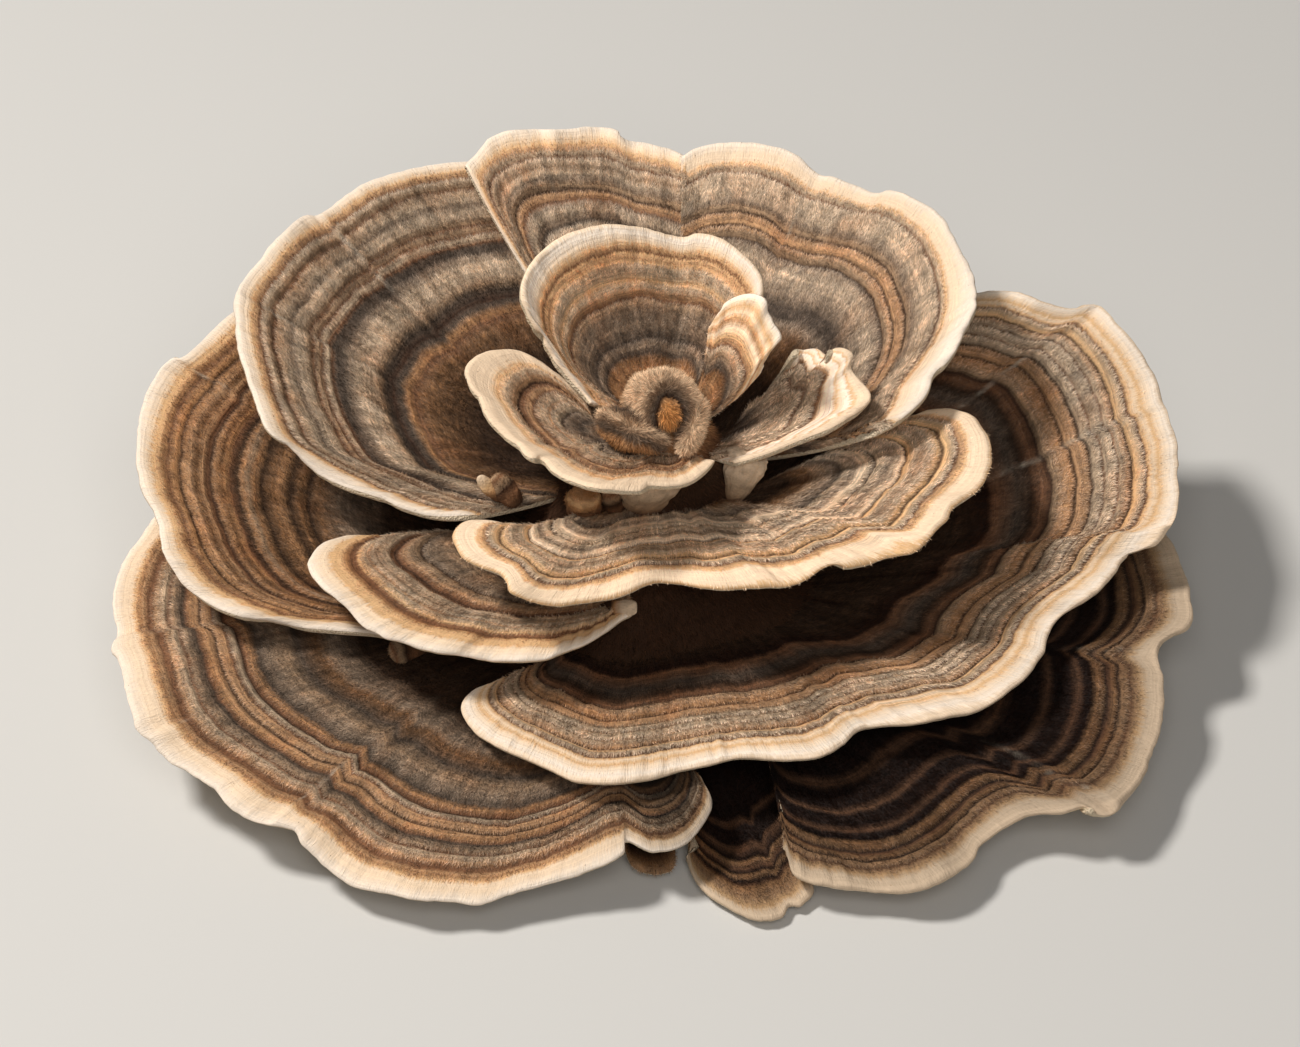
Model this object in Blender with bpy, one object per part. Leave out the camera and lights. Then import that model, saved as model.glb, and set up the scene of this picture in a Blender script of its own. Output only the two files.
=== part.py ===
"""Turkey tail fungus: a rosette of thin zoned caps that grow from one woody holdfast.

Real size, in metres, with +Z up. The fungus was cut off flat where it grew and rests on that cut. The origin
is in the cut face, the front is -Y and +X is to the right. Tables are in millimetres and degrees.

Each cap is one sheet between a root line on the holdfast and a rim. The rims were read by eye, in pixels,
from a photograph that looks down on the fungus at 45 degrees. Each rim point goes back along its sight line
to the height that its cap has there.
"""

from dataclasses import dataclass
from math import cos, radians, sin

import bmesh
import bpy
import numpy as np

MM = 0.001

# The photograph's view, which turns a pixel into a line of sight.
PIXELS_PER_MM = 8.0
PHOTO_CENTRE = np.array((650.0, 523.5))
VIEW_DOWN = radians(45.0)
VIEW_DISTANCE = 541.7
VIEW_TARGET = np.array((0.0, 0.0, 22.0))
FORWARD = np.array((0.0, cos(VIEW_DOWN), -sin(VIEW_DOWN)))
PICTURE_UP = np.array((0.0, sin(VIEW_DOWN), cos(VIEW_DOWN)))
PICTURE_RIGHT = np.array((1.0, 0.0, 0.0))
EYE = VIEW_TARGET - FORWARD * VIEW_DISTANCE

# The holdfast, level by level: height, middle in x and y, half width and half depth.
HOLDFAST_LEVELS = (
    (0.0, 0.0, -2.0, 26.0, 17.0),
    (4.0, 0.0, -2.0, 26.5, 17.5),
    (9.0, 0.0, -1.5, 24.0, 15.5),
    (14.0, 0.0, -0.5, 20.0, 13.5),
    (20.0, -0.5, 1.0, 15.5, 11.5),
    (28.0, 0.0, 3.5, 11.0, 9.0),
    (34.0, 0.5, 3.5, 7.6, 6.6),
    (38.5, 1.0, 2.7, 5.2, 4.4),
)
HOLDFAST_LUMP = 0.6
HOLDFAST_WAVES = ((3, 0.1, 0.0, 1.0), (5, -0.15, 1.0, 0.6))  # number around, twist per mm, start, share
HOLDFAST_SIDES = 26

# The young fuzzy bud in the middle of the rosette.
BUD_MIDDLE = np.array((0.6, 1.6, 42.6))
BUD_HALF_SIZES = np.array((5.6, 4.4, 3.7))
BUD_LUMP = 0.35
BUD_WAVES = np.array((4.0, 5.0, 3.0))  # along x, y and z
BUD_SIDES = 18
BUD_RINGS = 10

GAP = 0.5  # between a cap's root and the holdfast
RIM_THICKNESS = 1.3
RIM_WAVES = ((1.0, 0.7, 0.6), (1.7, 2.1, 0.4))  # times the cap's own number, start, share
MOST_RISE = 30.0  # no rim is further than this above or below its root line
SIGHT_HALVINGS = 40
CURVE_STEPS = 40  # for each point of a rim's table
FAN_MIDDLE_Y = 3.0
FAN_SHARE = 0.75  # of each root bearing that comes from the rim's
FAN_PASSES = 3
SIDE_SHARE = 0.35  # of the cap's width over which a side bend dies out

HOLDFAST_COLOUR = (0.16, 0.105, 0.065)
BUD_COLOUR = (0.30, 0.24, 0.18)
CAP_COLOUR = np.array((0.30, 0.234, 0.165))
CAP_SHADES = (0.87, 0.94, 1.0, 1.07)  # taken in turn, so that neighbours differ
ROUGH = 0.92


@dataclass(frozen=True)
class Cap:
    """One cap. Its root line and its rim both run anticlockwise, seen from above."""

    name: str
    bearings: tuple  # degrees from +X at which the root line starts and ends
    heights: tuple  # of the root line's start, middle and end
    rises: tuple  # degrees above level, at even steps along the rim
    rim: tuple  # pixels
    columns: int
    rows: int
    dish: float = 0.0  # how far the sheet's middle hangs below a straight line
    waves: tuple = (3.0, 0.5)  # number along the rim, and height
    bends: tuple = (0.0, 0.0)  # how far the sheet's two sides curve inwards
    folds: tuple = ()  # place along the rim, height and half width along the rim
    thickness: float = 2.6  # at the root


BACK_LEFT_CAP = Cap(
    name="back_left_cap",
    bearings=(115, 216),
    heights=(29.0, 28.0, 28.0),
    rises=(19, 18, 16, 14, 10, 3, -2),
    rim=(
        (462, 164), (440, 163), (400, 170), (360, 185), (320, 215), (308, 210), (288, 228),
        (264, 253), (247, 276), (235, 297), (237, 317), (239, 341), (247, 370), (258, 402),
        (270, 429), (291, 449), (317, 470), (349, 483), (379, 493), (405, 505), (434, 511),
        (467, 510),
    ),
    columns=26,
    rows=7,
    dish=3.0,
    waves=(3.5, 0.7),
    folds=((0.3, 1.2, 0.05), (0.43, 0.9, 0.04)),
    thickness=3.6,
)  # fmt: skip

BACK_MIDDLE_CAP = Cap(
    name="back_middle_cap",
    bearings=(72, 109),
    heights=(30.0, 30.5, 31.0),
    rises=(21, 21, 22, 22, 21),
    rim=(
        (680, 155), (657, 144), (628, 138), (616, 129), (592, 125), (557, 128), (519, 128),
        (493, 135), (475, 153), (465, 165),
    ),
    columns=20,
    rows=7,
    dish=2.5,
    waves=(4.0, 0.6),
)  # fmt: skip

BACK_RIGHT_CAP = Cap(
    name="back_right_cap",
    bearings=(-10, 62),
    heights=(31.0, 30.5, 30.0),
    rises=(17, 18, 18, 19, 20, 21),
    rim=(
        (873, 427), (895, 417), (912, 404), (925, 389), (934, 367), (949, 354), (962, 330),
        (971, 309), (974, 285), (964, 257), (949, 228), (934, 209), (908, 194), (889, 188),
        (873, 190), (834, 175), (818, 172), (798, 154), (771, 144), (736, 140), (716, 142),
        (698, 148), (687, 157),
    ),
    columns=24,
    rows=7,
    dish=2.5,
    waves=(4.0, 0.6),
    folds=((0.74, -1.2, 0.03),),
)  # fmt: skip

INNER_BACK_CAP = Cap(
    name="inner_back_cap",
    bearings=(50, 160),
    heights=(38.4, 38.2, 38.4),
    rises=(38, 46, 52, 53, 50, 44, 36),
    rim=(
        (757, 306), (760, 295), (760, 279), (751, 264), (736, 250), (719, 238), (698, 234),
        (683, 238), (657, 232), (640, 228), (610, 225), (587, 229), (563, 238), (540, 255),
        (528, 273), (524, 291), (528, 308), (543, 335), (563, 364), (581, 384), (594, 400),
    ),
    columns=20,
    rows=7,
    dish=1.6,
    waves=(3.0, 0.3),
    thickness=2.0,
)  # fmt: skip

INNER_RIGHT_CAP = Cap(
    name="inner_right_cap",
    bearings=(-42, 20),
    heights=(37.2, 37.8, 38.2),
    rises=(30, 44, 54, 60, 62, 60),
    rim=(
        (748, 387), (763, 373), (766, 364), (777, 346), (777, 335), (768, 317), (763, 300),
        (748, 294), (730, 300), (716, 314), (707, 330),
    ),
    columns=14,
    rows=6,
    dish=1.0,
    waves=(2.0, 0.2),
    thickness=1.8,
)  # fmt: skip

INNER_FRONT_CAP = Cap(
    name="inner_front_cap",
    bearings=(200, 302),
    heights=(36.6, 36.6, 36.4),
    rises=(22, 24, 23, 22, 22, 22, 20),
    rim=(
        (588, 402), (572, 386), (555, 370), (539, 359), (520, 349), (504, 347), (486, 350),
        (472, 359), (467, 370), (472, 384), (481, 396), (488, 412), (502, 428), (520, 442),
        (529, 452), (543, 455), (555, 467), (571, 476), (596, 483), (635, 486), (647, 481),
        (670, 481), (688, 478), (704, 467), (713, 456),
    ),
    columns=20,
    rows=7,
    dish=0.8,
    waves=(4.0, 0.4),
    thickness=2.0,
)  # fmt: skip

INNER_SIDE_CAP = Cap(
    name="inner_side_cap",
    bearings=(-52, -4),
    heights=(34.2, 34.0, 34.0),
    rises=(20, 18, 17, 18, 24, 26, 24),
    rim=(
        (731, 459), (750, 454), (776, 445), (802, 434), (830, 423), (847, 413), (865, 402),
        (869, 393), (860, 380), (852, 369), (839, 358), (820, 356), (804, 363), (787, 376),
        (765, 393), (750, 402),
    ),
    columns=16,
    rows=6,
    dish=0.8,
    waves=(2.0, 0.4),
    folds=((0.62, 1.2, 0.06),),
    thickness=1.8,
)  # fmt: skip

UPPER_FRONT_CAP = Cap(
    name="upper_front_cap",
    bearings=(240, 330),
    heights=(29.5, 28.5, 27.5),
    rises=(4, 7, 0, -3, -2, 1, 6, 9, 10, 8),
    rim=(
        (492, 518), (465, 518), (454, 527), (453, 536), (461, 552), (479, 563), (497, 569),
        (507, 578), (511, 589), (527, 598), (550, 603), (575, 601), (610, 596), (633, 588),
        (660, 580), (697, 585), (728, 586), (767, 584), (788, 583), (806, 577), (827, 565),
        (849, 564), (871, 560), (901, 553), (918, 547), (934, 530), (947, 517), (955, 501),
        (979, 486), (989, 471), (992, 456), (989, 436), (977, 417), (962, 408), (940, 406),
        (910, 414), (885, 424),
    ),
    columns=30,
    rows=6,
    dish=-0.6,
    waves=(7.0, 0.6),
    bends=(2.8, 0.0),
    thickness=3.2,
)  # fmt: skip

FRONT_LEFT_CAP = Cap(
    name="front_left_cap",
    bearings=(194, 262),
    heights=(21.5, 20.5, 20.5),
    rises=(7, 9, 7, 3, 1, 2, 5),
    rim=(
        (392, 534), (360, 534), (339, 535), (321, 541), (309, 555), (310, 569), (318, 580),
        (334, 594), (346, 605), (364, 624), (385, 635), (415, 644), (447, 652), (479, 657),
        (507, 658), (543, 657), (564, 649), (589, 640), (608, 628), (621, 617), (634, 611),
    ),
    columns=20,
    rows=6,
    dish=-0.8,
    waves=(4.0, 0.5),
    thickness=3.6,
)  # fmt: skip

LEFT_CAP = Cap(
    name="left_cap",
    bearings=(112, 222),
    heights=(20.0, 17.5, 16.5),
    rises=(20, 19, 18, 16, 13, 11, 6, 3, 2),
    rim=(
        (490, 305), (440, 275), (380, 262), (320, 262), (270, 285), (226, 317), (203, 338),
        (179, 360), (167, 358), (156, 370), (144, 399), (138, 429), (139, 464), (144, 490),
        (156, 511), (161, 534), (165, 550), (176, 571), (191, 589), (225, 607), (257, 616),
        (288, 622), (322, 625), (361, 628), (395, 632),
    ),
    columns=24,
    rows=7,
    dish=2.0,
    waves=(5.0, 0.7),
    folds=((0.42, 1.4, 0.03),),
    thickness=3.6,
)  # fmt: skip

LOWER_LEFT_CAP = Cap(
    name="lower_left_cap",
    bearings=(152, 262),
    heights=(11.0, 9.5, 8.0),
    rises=(9, 10, 9, 6, 4, 0, -4, -6, -5, 1, 2),
    rim=(
        (375, 470), (310, 455), (240, 460), (190, 485), (156, 513), (139, 537), (123, 557),
        (114, 584), (113, 610), (116, 631), (110, 646), (117, 657), (125, 688), (131, 712),
        (139, 730), (152, 743), (168, 759), (191, 772), (212, 785), (231, 806), (257, 820),
        (293, 827), (304, 843), (322, 863), (348, 882), (382, 890), (414, 897), (453, 901),
        (479, 903), (510, 892), (555, 880), (590, 868), (622, 851), (627, 838), (652, 849),
        (681, 844), (705, 820), (713, 798), (703, 777),
    ),
    columns=28,
    rows=7,
    dish=-1.5,
    waves=(6.0, 0.8),
    folds=((0.31, -1.0, 0.02), (0.56, 1.2, 0.03)),
    thickness=3.6,
)  # fmt: skip

LARGE_RIGHT_CAP = Cap(
    name="large_right_cap",
    bearings=(-118, 80),
    heights=(13.5, 14.0, 18.0),
    rises=(0, -1, -3, -2, 0, 3, 7, 12, 15, 20, 21, 17),
    rim=(
        (482, 685), (469, 691), (461, 705), (472, 726), (494, 742), (528, 757), (555, 769),
        (574, 778), (606, 780), (649, 777), (681, 768), (708, 762), (740, 755), (785, 757),
        (821, 753), (845, 740), (863, 726), (908, 723), (947, 713), (977, 708), (1004, 692),
        (1028, 671), (1043, 650), (1049, 632), (1058, 619), (1086, 598), (1108, 577), (1122, 558),
        (1131, 548), (1143, 553), (1160, 541), (1174, 518), (1178, 482), (1176, 440), (1167, 412),
        (1153, 369), (1131, 338), (1110, 312), (1096, 303), (1077, 308), (1049, 303), (1020, 291),
        (992, 288), (974, 291), (930, 288), (870, 295), (800, 310), (740, 335),
    ),
    columns=36,
    rows=7,
    dish=0.5,
    waves=(8.0, 0.8),
    folds=((0.55, 1.5, 0.02), (0.645, -1.5, 0.02), (0.72, 1.2, 0.025), (0.8, 1.2, 0.02)),
    thickness=3.6,
)  # fmt: skip

LOWER_RIGHT_CAP = Cap(
    name="lower_right_cap",
    bearings=(-58, 34),
    heights=(7.0, 7.0, 8.5),
    rises=(-3, -3, -2, 0, 2, 6, 8, 9, 8),
    rim=(
        (762, 767), (767, 782), (779, 815), (786, 839), (788, 854), (794, 872), (815, 881),
        (860, 888), (908, 891), (944, 878), (971, 860), (983, 842), (1010, 824), (1028, 816),
        (1058, 812), (1085, 803), (1109, 812), (1136, 785), (1154, 752), (1163, 716), (1163, 674),
        (1158, 653), (1166, 639), (1190, 623), (1190, 590), (1181, 560), (1160, 525), (1110, 490),
        (1040, 470), (970, 470),
    ),
    columns=26,
    rows=6,
    dish=-0.5,
    waves=(5.0, 0.8),
    folds=((0.42, 1.8, 0.04),),
    thickness=3.0,
)  # fmt: skip

TONGUE_CAP = Cap(
    name="tongue_cap",
    bearings=(-82, -74),
    heights=(3.0, 3.0, 3.0),
    rises=(-1.5, -2, -2, -1.5),
    rim=(
        (689, 845), (692, 871), (705, 889), (724, 903), (745, 914), (764, 918), (783, 914),
        (788, 903), (799, 903), (812, 889), (803, 872),
    ),
    columns=14,
    rows=6,
    dish=-0.2,
    waves=(2.0, 0.2),
    thickness=1.6,
)  # fmt: skip

HIDDEN_CAP = Cap(
    name="hidden_cap",
    bearings=(-104, -94),
    heights=(3.0, 3.0, 3.0),
    rises=(-1.5, -1.5, -1.5),
    rim=((624, 845), (633, 863), (654, 871), (672, 866), (676, 848)),
    columns=9,
    rows=5,
    waves=(1.0, 0.1),
    thickness=1.6,
)

CAPS = (
    BACK_LEFT_CAP,
    BACK_MIDDLE_CAP,
    BACK_RIGHT_CAP,
    INNER_BACK_CAP,
    INNER_RIGHT_CAP,
    INNER_FRONT_CAP,
    INNER_SIDE_CAP,
    UPPER_FRONT_CAP,
    FRONT_LEFT_CAP,
    LEFT_CAP,
    LOWER_LEFT_CAP,
    LARGE_RIGHT_CAP,
    LOWER_RIGHT_CAP,
    TONGUE_CAP,
    HIDDEN_CAP,
)


def clear_scene():
    """Takes out the objects that a new scene starts with."""
    for old in list(bpy.data.objects):
        bpy.data.objects.remove(old)


def material(name, colour, roughness):
    """A plain finish of one colour."""
    made = bpy.data.materials.new(name)
    made.use_nodes = True
    shader = made.node_tree.nodes["Principled BSDF"]
    shader.inputs["Base Color"].default_value = (*colour, 1.0)
    shader.inputs["Roughness"].default_value = roughness
    shader.inputs["Metallic"].default_value = 0.0
    made.diffuse_color = (*colour, 1.0)
    return made


def new_object(name, bm, finish):
    """An object at the origin from a bmesh in millimetres, shaded smooth."""
    bmesh.ops.scale(bm, vec=(MM, MM, MM), verts=bm.verts)
    mesh = bpy.data.meshes.new(name)
    bm.to_mesh(mesh)
    bm.free()
    mesh.shade_smooth()
    mesh.materials.append(finish)
    made = bpy.data.objects.new(name, mesh)
    bpy.context.scene.collection.objects.link(made)
    return made


def spline(values, at):
    """A Catmull-Rom curve through evenly spaced values, read at places from 0 to 1."""
    values = np.array(values, float)
    padded = np.concatenate(([2 * values[0] - values[1]], values, [2 * values[-1] - values[-2]]))
    spot = np.clip(at, 0.0, 1.0) * (len(values) - 1)
    first = np.minimum(spot.astype(int), len(values) - 2)
    t = (spot - first).reshape(-1, *([1] * (values.ndim - 1)))
    p0, p1, p2, p3 = (padded[first + step] for step in range(4))
    bend = (2 * p0 - 5 * p1 + 4 * p2 - p3) * t**2 + (3 * p1 - p0 - 3 * p2 + p3) * t**3
    return 0.5 * (2 * p1 + (p2 - p0) * t + bend)


def evenly_along(points, count):
    """Points at equal distances along the curve through the given ones."""
    fine = spline(points, np.linspace(0.0, 1.0, CURVE_STEPS * len(points)))
    travelled = np.concatenate(([0.0], np.cumsum(np.linalg.norm(np.diff(fine, axis=0), axis=1))))
    stops = np.linspace(0.0, travelled[-1], count)
    return np.stack([np.interp(stops, travelled, axis) for axis in fine.T], 1)


def level_outline(level, bearing, growth):
    """Places round the holdfast at one level, moved outwards by growth."""
    height, middle_x, middle_y, half_width, half_depth = level.T
    out = growth
    for number, twist, start, share in HOLDFAST_WAVES:
        out = out + HOLDFAST_LUMP * share * np.sin(number * bearing + twist * height + start)
    x = middle_x + (half_width + out) * np.cos(bearing)
    y = middle_y + (half_depth + out) * np.sin(bearing)
    return np.stack([x, y, np.broadcast_to(height, x.shape)], -1)


def holdfast_point(bearing, height, growth=0.0):
    """The place on the holdfast's side at a bearing in radians, moved outwards by growth."""
    levels = np.array(HOLDFAST_LEVELS)
    spot = np.interp(height, levels[:, 0], np.arange(len(levels)))
    lower = np.minimum(spot.astype(int), len(levels) - 2)
    share = (spot - lower)[..., None]
    below, above = (level_outline(levels[lower + step], bearing, growth) for step in (0, 1))
    return below * (1 - share) + above * share


def shaped_grid(bm, rows):
    """A grid whose points lie at the given rows of places. Returns its vertices."""
    steps = {"x_segments": rows.shape[1] - 1, "y_segments": rows.shape[0] - 1}
    grid = bmesh.ops.create_grid(bm, size=1.0, **steps)["verts"]
    for vert, place in zip(grid, rows.reshape(-1, 3)):
        vert.co = place
    return grid


def holdfast(name, finish):
    """The common base, closed by the flat cut below and a flat top under the bud."""
    turn = np.linspace(0.0, 2 * np.pi, HOLDFAST_SIDES + 1)
    bm = bmesh.new()
    grid = shaped_grid(bm, np.array([level_outline(level, turn, 0.0) for level in np.array(HOLDFAST_LEVELS)]))
    bmesh.ops.remove_doubles(bm, verts=grid, dist=MM)
    bmesh.ops.holes_fill(bm, edges=[edge for edge in bm.edges if edge.is_boundary], sides=0)
    bmesh.ops.recalc_face_normals(bm, faces=bm.faces)
    return new_object(name, bm, finish)


def bud(name, finish):
    """The lumpy round bud that sits on the holdfast's top."""
    bm = bmesh.new()
    bmesh.ops.create_uvsphere(bm, u_segments=BUD_SIDES, v_segments=BUD_RINGS, radius=1.0)
    for vert in bm.verts:
        direction = np.array(vert.co)
        lump = BUD_LUMP * np.sin(BUD_WAVES * direction).sum()
        vert.co = BUD_MIDDLE + direction * (BUD_HALF_SIZES + lump)
    return new_object(name, bm, finish)


def rim_lift(cap, along):
    """How far waves and folds raise the rim above the cap's plain slope."""
    number, height = cap.waves
    lift = np.zeros_like(along)
    for times, start, share in RIM_WAVES:
        lift += height * share * np.sin(2 * np.pi * number * times * along + start)
    for place, fold_height, half_width in cap.folds:
        lift += fold_height * np.exp(-(((along - place) / half_width) ** 2))
    return lift * np.sqrt(4 * along * (1 - along))


def rim_line(cap, roots, along):
    """The rim, where each pixel's sight line comes down to the cap's height."""
    pixels = evenly_along(cap.rim, len(along))
    across, up = ((pixels - PHOTO_CENTRE) / PIXELS_PER_MM * (1, -1)).T
    sight = VIEW_DISTANCE * FORWARD + across[:, None] * PICTURE_RIGHT + up[:, None] * PICTURE_UP
    slope = np.tan(np.radians(spline(cap.rises, along)))
    lift = rim_lift(cap, along)
    near, far = ((roots[:, 2] + step - EYE[2]) / sight[:, 2] for step in (MOST_RISE, -MOST_RISE))
    for _ in range(SIGHT_HALVINGS):
        middle = (near + far) / 2
        place = EYE + middle[:, None] * sight
        reach = np.linalg.norm(place[:, :2] - roots[:, :2], axis=1)
        above = place[:, 2] > roots[:, 2] + slope * reach + lift
        near = np.where(above, middle, near)
        far = np.where(above, far, middle)
    return EYE + near[:, None] * sight


def root_and_rim(cap, along):
    """Both lines, with the root's bearings drawn towards the rim's, so that the sheet fans out."""
    first, last = np.radians(cap.bearings)
    middle = (first + last) / 2
    even = first + (last - first) * along
    bearing = even
    for _ in range(FAN_PASSES):
        roots = holdfast_point(bearing, spline(cap.heights, along), GAP)
        rims = rim_line(cap, roots, along)
        own = np.arctan2(rims[:, 1] - FAN_MIDDLE_Y, rims[:, 0]) - middle
        own = middle + (own + np.pi) % (2 * np.pi) - np.pi
        own = np.maximum.accumulate(np.clip(own, first, last))
        bearing = FAN_SHARE * own + (1 - FAN_SHARE) * even
    return roots, rims, bearing


def sheet(cap):
    """The cap's upper face, as rows of places from the root line out to the rim, and its root's bearings."""
    along = np.linspace(0.0, 1.0, cap.columns)
    roots, rims, bearing = root_and_rim(cap, along)
    way = rims - roots
    length = np.linalg.norm(way, axis=1)
    out = np.linspace(0.0, 1.0, cap.rows)[:, None]
    bulge = 4 * out * (1 - out)
    places = roots + way * out[:, :, None]
    places[:, :, 2] -= cap.dish * (length / length.max()) * bulge
    sides = [np.clip(1 - edge / SIDE_SHARE, 0.0, 1.0) ** 2 for edge in (along, 1 - along)]
    bend = (cap.bends[1] * sides[1] - cap.bends[0] * sides[0]) * bulge
    clockwise = np.stack([way[:, 1], -way[:, 0]], 1) / np.linalg.norm(way[:, :2], axis=1)[:, None]
    places[:, :, :2] += bend[:, :, None] * clockwise
    return places, bearing


def underside(cap, upper, bearing):
    """The sheet moved down, thick at the root, thin at the rim and thinner where the cap is short."""
    outwards = np.gradient(upper, axis=0)
    onwards = np.gradient(upper, axis=1)
    normal = np.cross(outwards, onwards)
    normal /= np.linalg.norm(normal, axis=2)[:, :, None]
    out = np.linspace(0.0, 1.0, cap.rows)[:, None, None]
    upright = np.array((0.0, 0.0, 1.0))
    length = np.linalg.norm(upper[-1] - upper[0], axis=1)
    rooted = cap.thickness * np.sqrt(length / length.max())
    thick = RIM_THICKNESS * out + rooted[:, None] * (1 - out)
    lower = upper - (normal * out + upright * (1 - out)) * thick
    lower[0] = holdfast_point(bearing, upper[0, :, 2] - rooted, GAP)
    return lower


def cap_solid(cap, finish):
    """The two faces as grids, bridged along their edges."""
    upper, bearing = sheet(cap)
    bm = bmesh.new()
    for face in (upper, underside(cap, upper, bearing)):
        shaped_grid(bm, face)
    bmesh.ops.bridge_loops(bm, edges=[edge for edge in bm.edges if edge.is_boundary])
    bmesh.ops.recalc_face_normals(bm, faces=bm.faces)
    return new_object(cap.name, bm, finish)


def build():
    """The holdfast, the bud and every cap."""
    clear_scene()
    holdfast("holdfast", material("holdfast_brown", HOLDFAST_COLOUR, ROUGH))
    bud("centre_bud", material("bud_fuzz", BUD_COLOUR, ROUGH))
    for number, cap in enumerate(CAPS):
        shade = CAP_SHADES[number % len(CAP_SHADES)]
        cap_solid(cap, material(f"{cap.name}_velvet", shade * CAP_COLOUR, ROUGH))


build()
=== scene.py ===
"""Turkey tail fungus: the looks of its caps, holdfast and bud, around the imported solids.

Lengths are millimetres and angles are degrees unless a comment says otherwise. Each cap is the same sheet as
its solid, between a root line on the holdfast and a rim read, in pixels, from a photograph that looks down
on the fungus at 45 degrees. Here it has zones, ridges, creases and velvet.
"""

from dataclasses import dataclass
from math import cos, radians, sin

import bmesh
import bpy
import numpy as np
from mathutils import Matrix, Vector


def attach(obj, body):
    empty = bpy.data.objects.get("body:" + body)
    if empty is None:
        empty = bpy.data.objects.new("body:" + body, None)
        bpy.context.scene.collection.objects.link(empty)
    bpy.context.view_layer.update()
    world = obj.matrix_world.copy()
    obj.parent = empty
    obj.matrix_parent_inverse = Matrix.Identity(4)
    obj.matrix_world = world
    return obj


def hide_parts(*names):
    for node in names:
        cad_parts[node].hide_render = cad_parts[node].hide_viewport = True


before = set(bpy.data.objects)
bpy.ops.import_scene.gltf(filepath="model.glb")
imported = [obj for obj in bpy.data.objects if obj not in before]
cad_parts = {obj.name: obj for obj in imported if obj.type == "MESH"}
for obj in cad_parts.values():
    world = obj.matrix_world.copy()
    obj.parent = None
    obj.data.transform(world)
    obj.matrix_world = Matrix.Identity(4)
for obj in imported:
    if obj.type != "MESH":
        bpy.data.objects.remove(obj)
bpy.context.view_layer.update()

MM = 0.001
UPRIGHT = np.array((0.0, 0.0, 1.0))

# The photograph's view, which turns a pixel into a line of sight.
PIXELS_PER_MM = 8.0
PHOTO_CENTRE = np.array((650.0, 523.5))
VIEW_DOWN = radians(45.0)
VIEW_DISTANCE = 541.7
VIEW_TARGET = np.array((0.0, 0.0, 22.0))
FORWARD = np.array((0.0, cos(VIEW_DOWN), -sin(VIEW_DOWN)))
PICTURE_UP = np.array((0.0, sin(VIEW_DOWN), cos(VIEW_DOWN)))
PICTURE_RIGHT = np.array((1.0, 0.0, 0.0))
EYE = VIEW_TARGET - FORWARD * VIEW_DISTANCE
LENS = 120.0
SENSOR = 36.0

# The holdfast, level by level: height, middle in x and y, half width and half depth.
HOLDFAST_LEVELS = np.array(
    (
        (0.0, 0.0, -2.0, 26.0, 17.0),
        (4.0, 0.0, -2.0, 26.5, 17.5),
        (9.0, 0.0, -1.5, 24.0, 15.5),
        (14.0, 0.0, -0.5, 20.0, 13.5),
        (20.0, -0.5, 1.0, 15.5, 11.5),
        (28.0, 0.0, 3.5, 11.0, 9.0),
        (34.0, 0.5, 3.5, 7.6, 6.6),
        (38.5, 1.0, 2.7, 5.2, 4.4),
    )
)
HOLDFAST_LUMP = 0.6
HOLDFAST_WAVES = ((3, 0.1, 0.0, 1.0), (5, -0.15, 1.0, 0.6))  # number around, twist per mm, start, share
HOLDFAST_LUMPS = ((0.5, 16, 3.0), (0.25, 40, 1.2))  # height, number around, size upwards
SEAM_REACH = 0.4  # radians over which the lumps fade out where the rings close
FLAT_FOOT = 1.5  # the height up to which they fade out towards the cut
FUZZ_START = (1.0, 4.0)  # the height where its fuzz begins, and how much higher it is thick

# The caps' sheets, as the solids have them.
GAP = 0.5
RIM_THICKNESS = 1.3
RIM_WAVES = ((1.0, 0.7, 0.6), (1.7, 2.1, 0.4))  # times the cap's own number of waves, start, share
MOST_RISE = 30.0
SIGHT_HALVINGS = 40
CURVE_STEPS = 40
FAN_MIDDLE_Y = 3.0
FAN_SHARE = 0.75
FAN_PASSES = 3
SIDE_SHARE = 0.35

# The caps' visible skins.
CELL = 0.45  # the size of the sheet's faces
ROUND = 0.75  # the radius of the margin's edge
ROUND_STEPS = 5
FEWEST_STEPS = 4
ROUGH_STEPS = 200
EVEN_STEPS = np.linspace(-2.0, 2.0, 41)  # in lengths of SOFT_RIM
UNDER_STEP = 2  # the underside has every second row
EMBED = -1.5  # how far the sheet runs on into the holdfast
EMBED_POWER = 4  # how close to the root that stays
PILE = 0.3  # how far the skin lies below the solid, so that the velvet's tips reach it
JOIN_REACH = 9.0  # how far along the rim a joined side is drawn over
SOFT_RIM = 4.0  # how far along the rim its small bends are evened out for the inner sheet
RIM_BLEND = 4.0  # how far inwards the rim's own small bends reach
LEAST_BLEND_POWER = 2.0  # how close to the rim they stay where a cap is short
INLET_REACH = 5.0  # how far inwards the bands still follow them
ROOT_WIDTH = 0.35  # the sheet's width at its root, as a share of its rim's
MARGIN = 3.0  # how far inwards the smooth margin reaches
SQUEEZE = 0.5  # how much the zones close up where a cap is short: 0 keeps their width, 1 keeps their share
SHORTEST_REACH = 0.12  # the shortest column's share of the longest, for that
PINHOLE = 0.02  # radians left open at the poles of a rounded piece
EDGE_WELD = 1e-7  # metres, for the open edges of a cap's sheet
POLE_WELD = 1e-6  # metres, for those of a rounded piece
HOLDFAST_GRID = (110, 241)
LOBE_GRID = (80, 145)
NUB_GRID = (60, 97)

# Seeds of the noises and hairs, each for its own piece.
RIPPLE_SEED = 100
TUFT_SEED = 200
BIG_TUFT_SEED = 300
HOLDFAST_SEEDS = (71, 72, 73, 74)
LOBE_SEEDS = (81, 84, 87)
NUB_SEEDS = (90, 110, 120)


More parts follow.
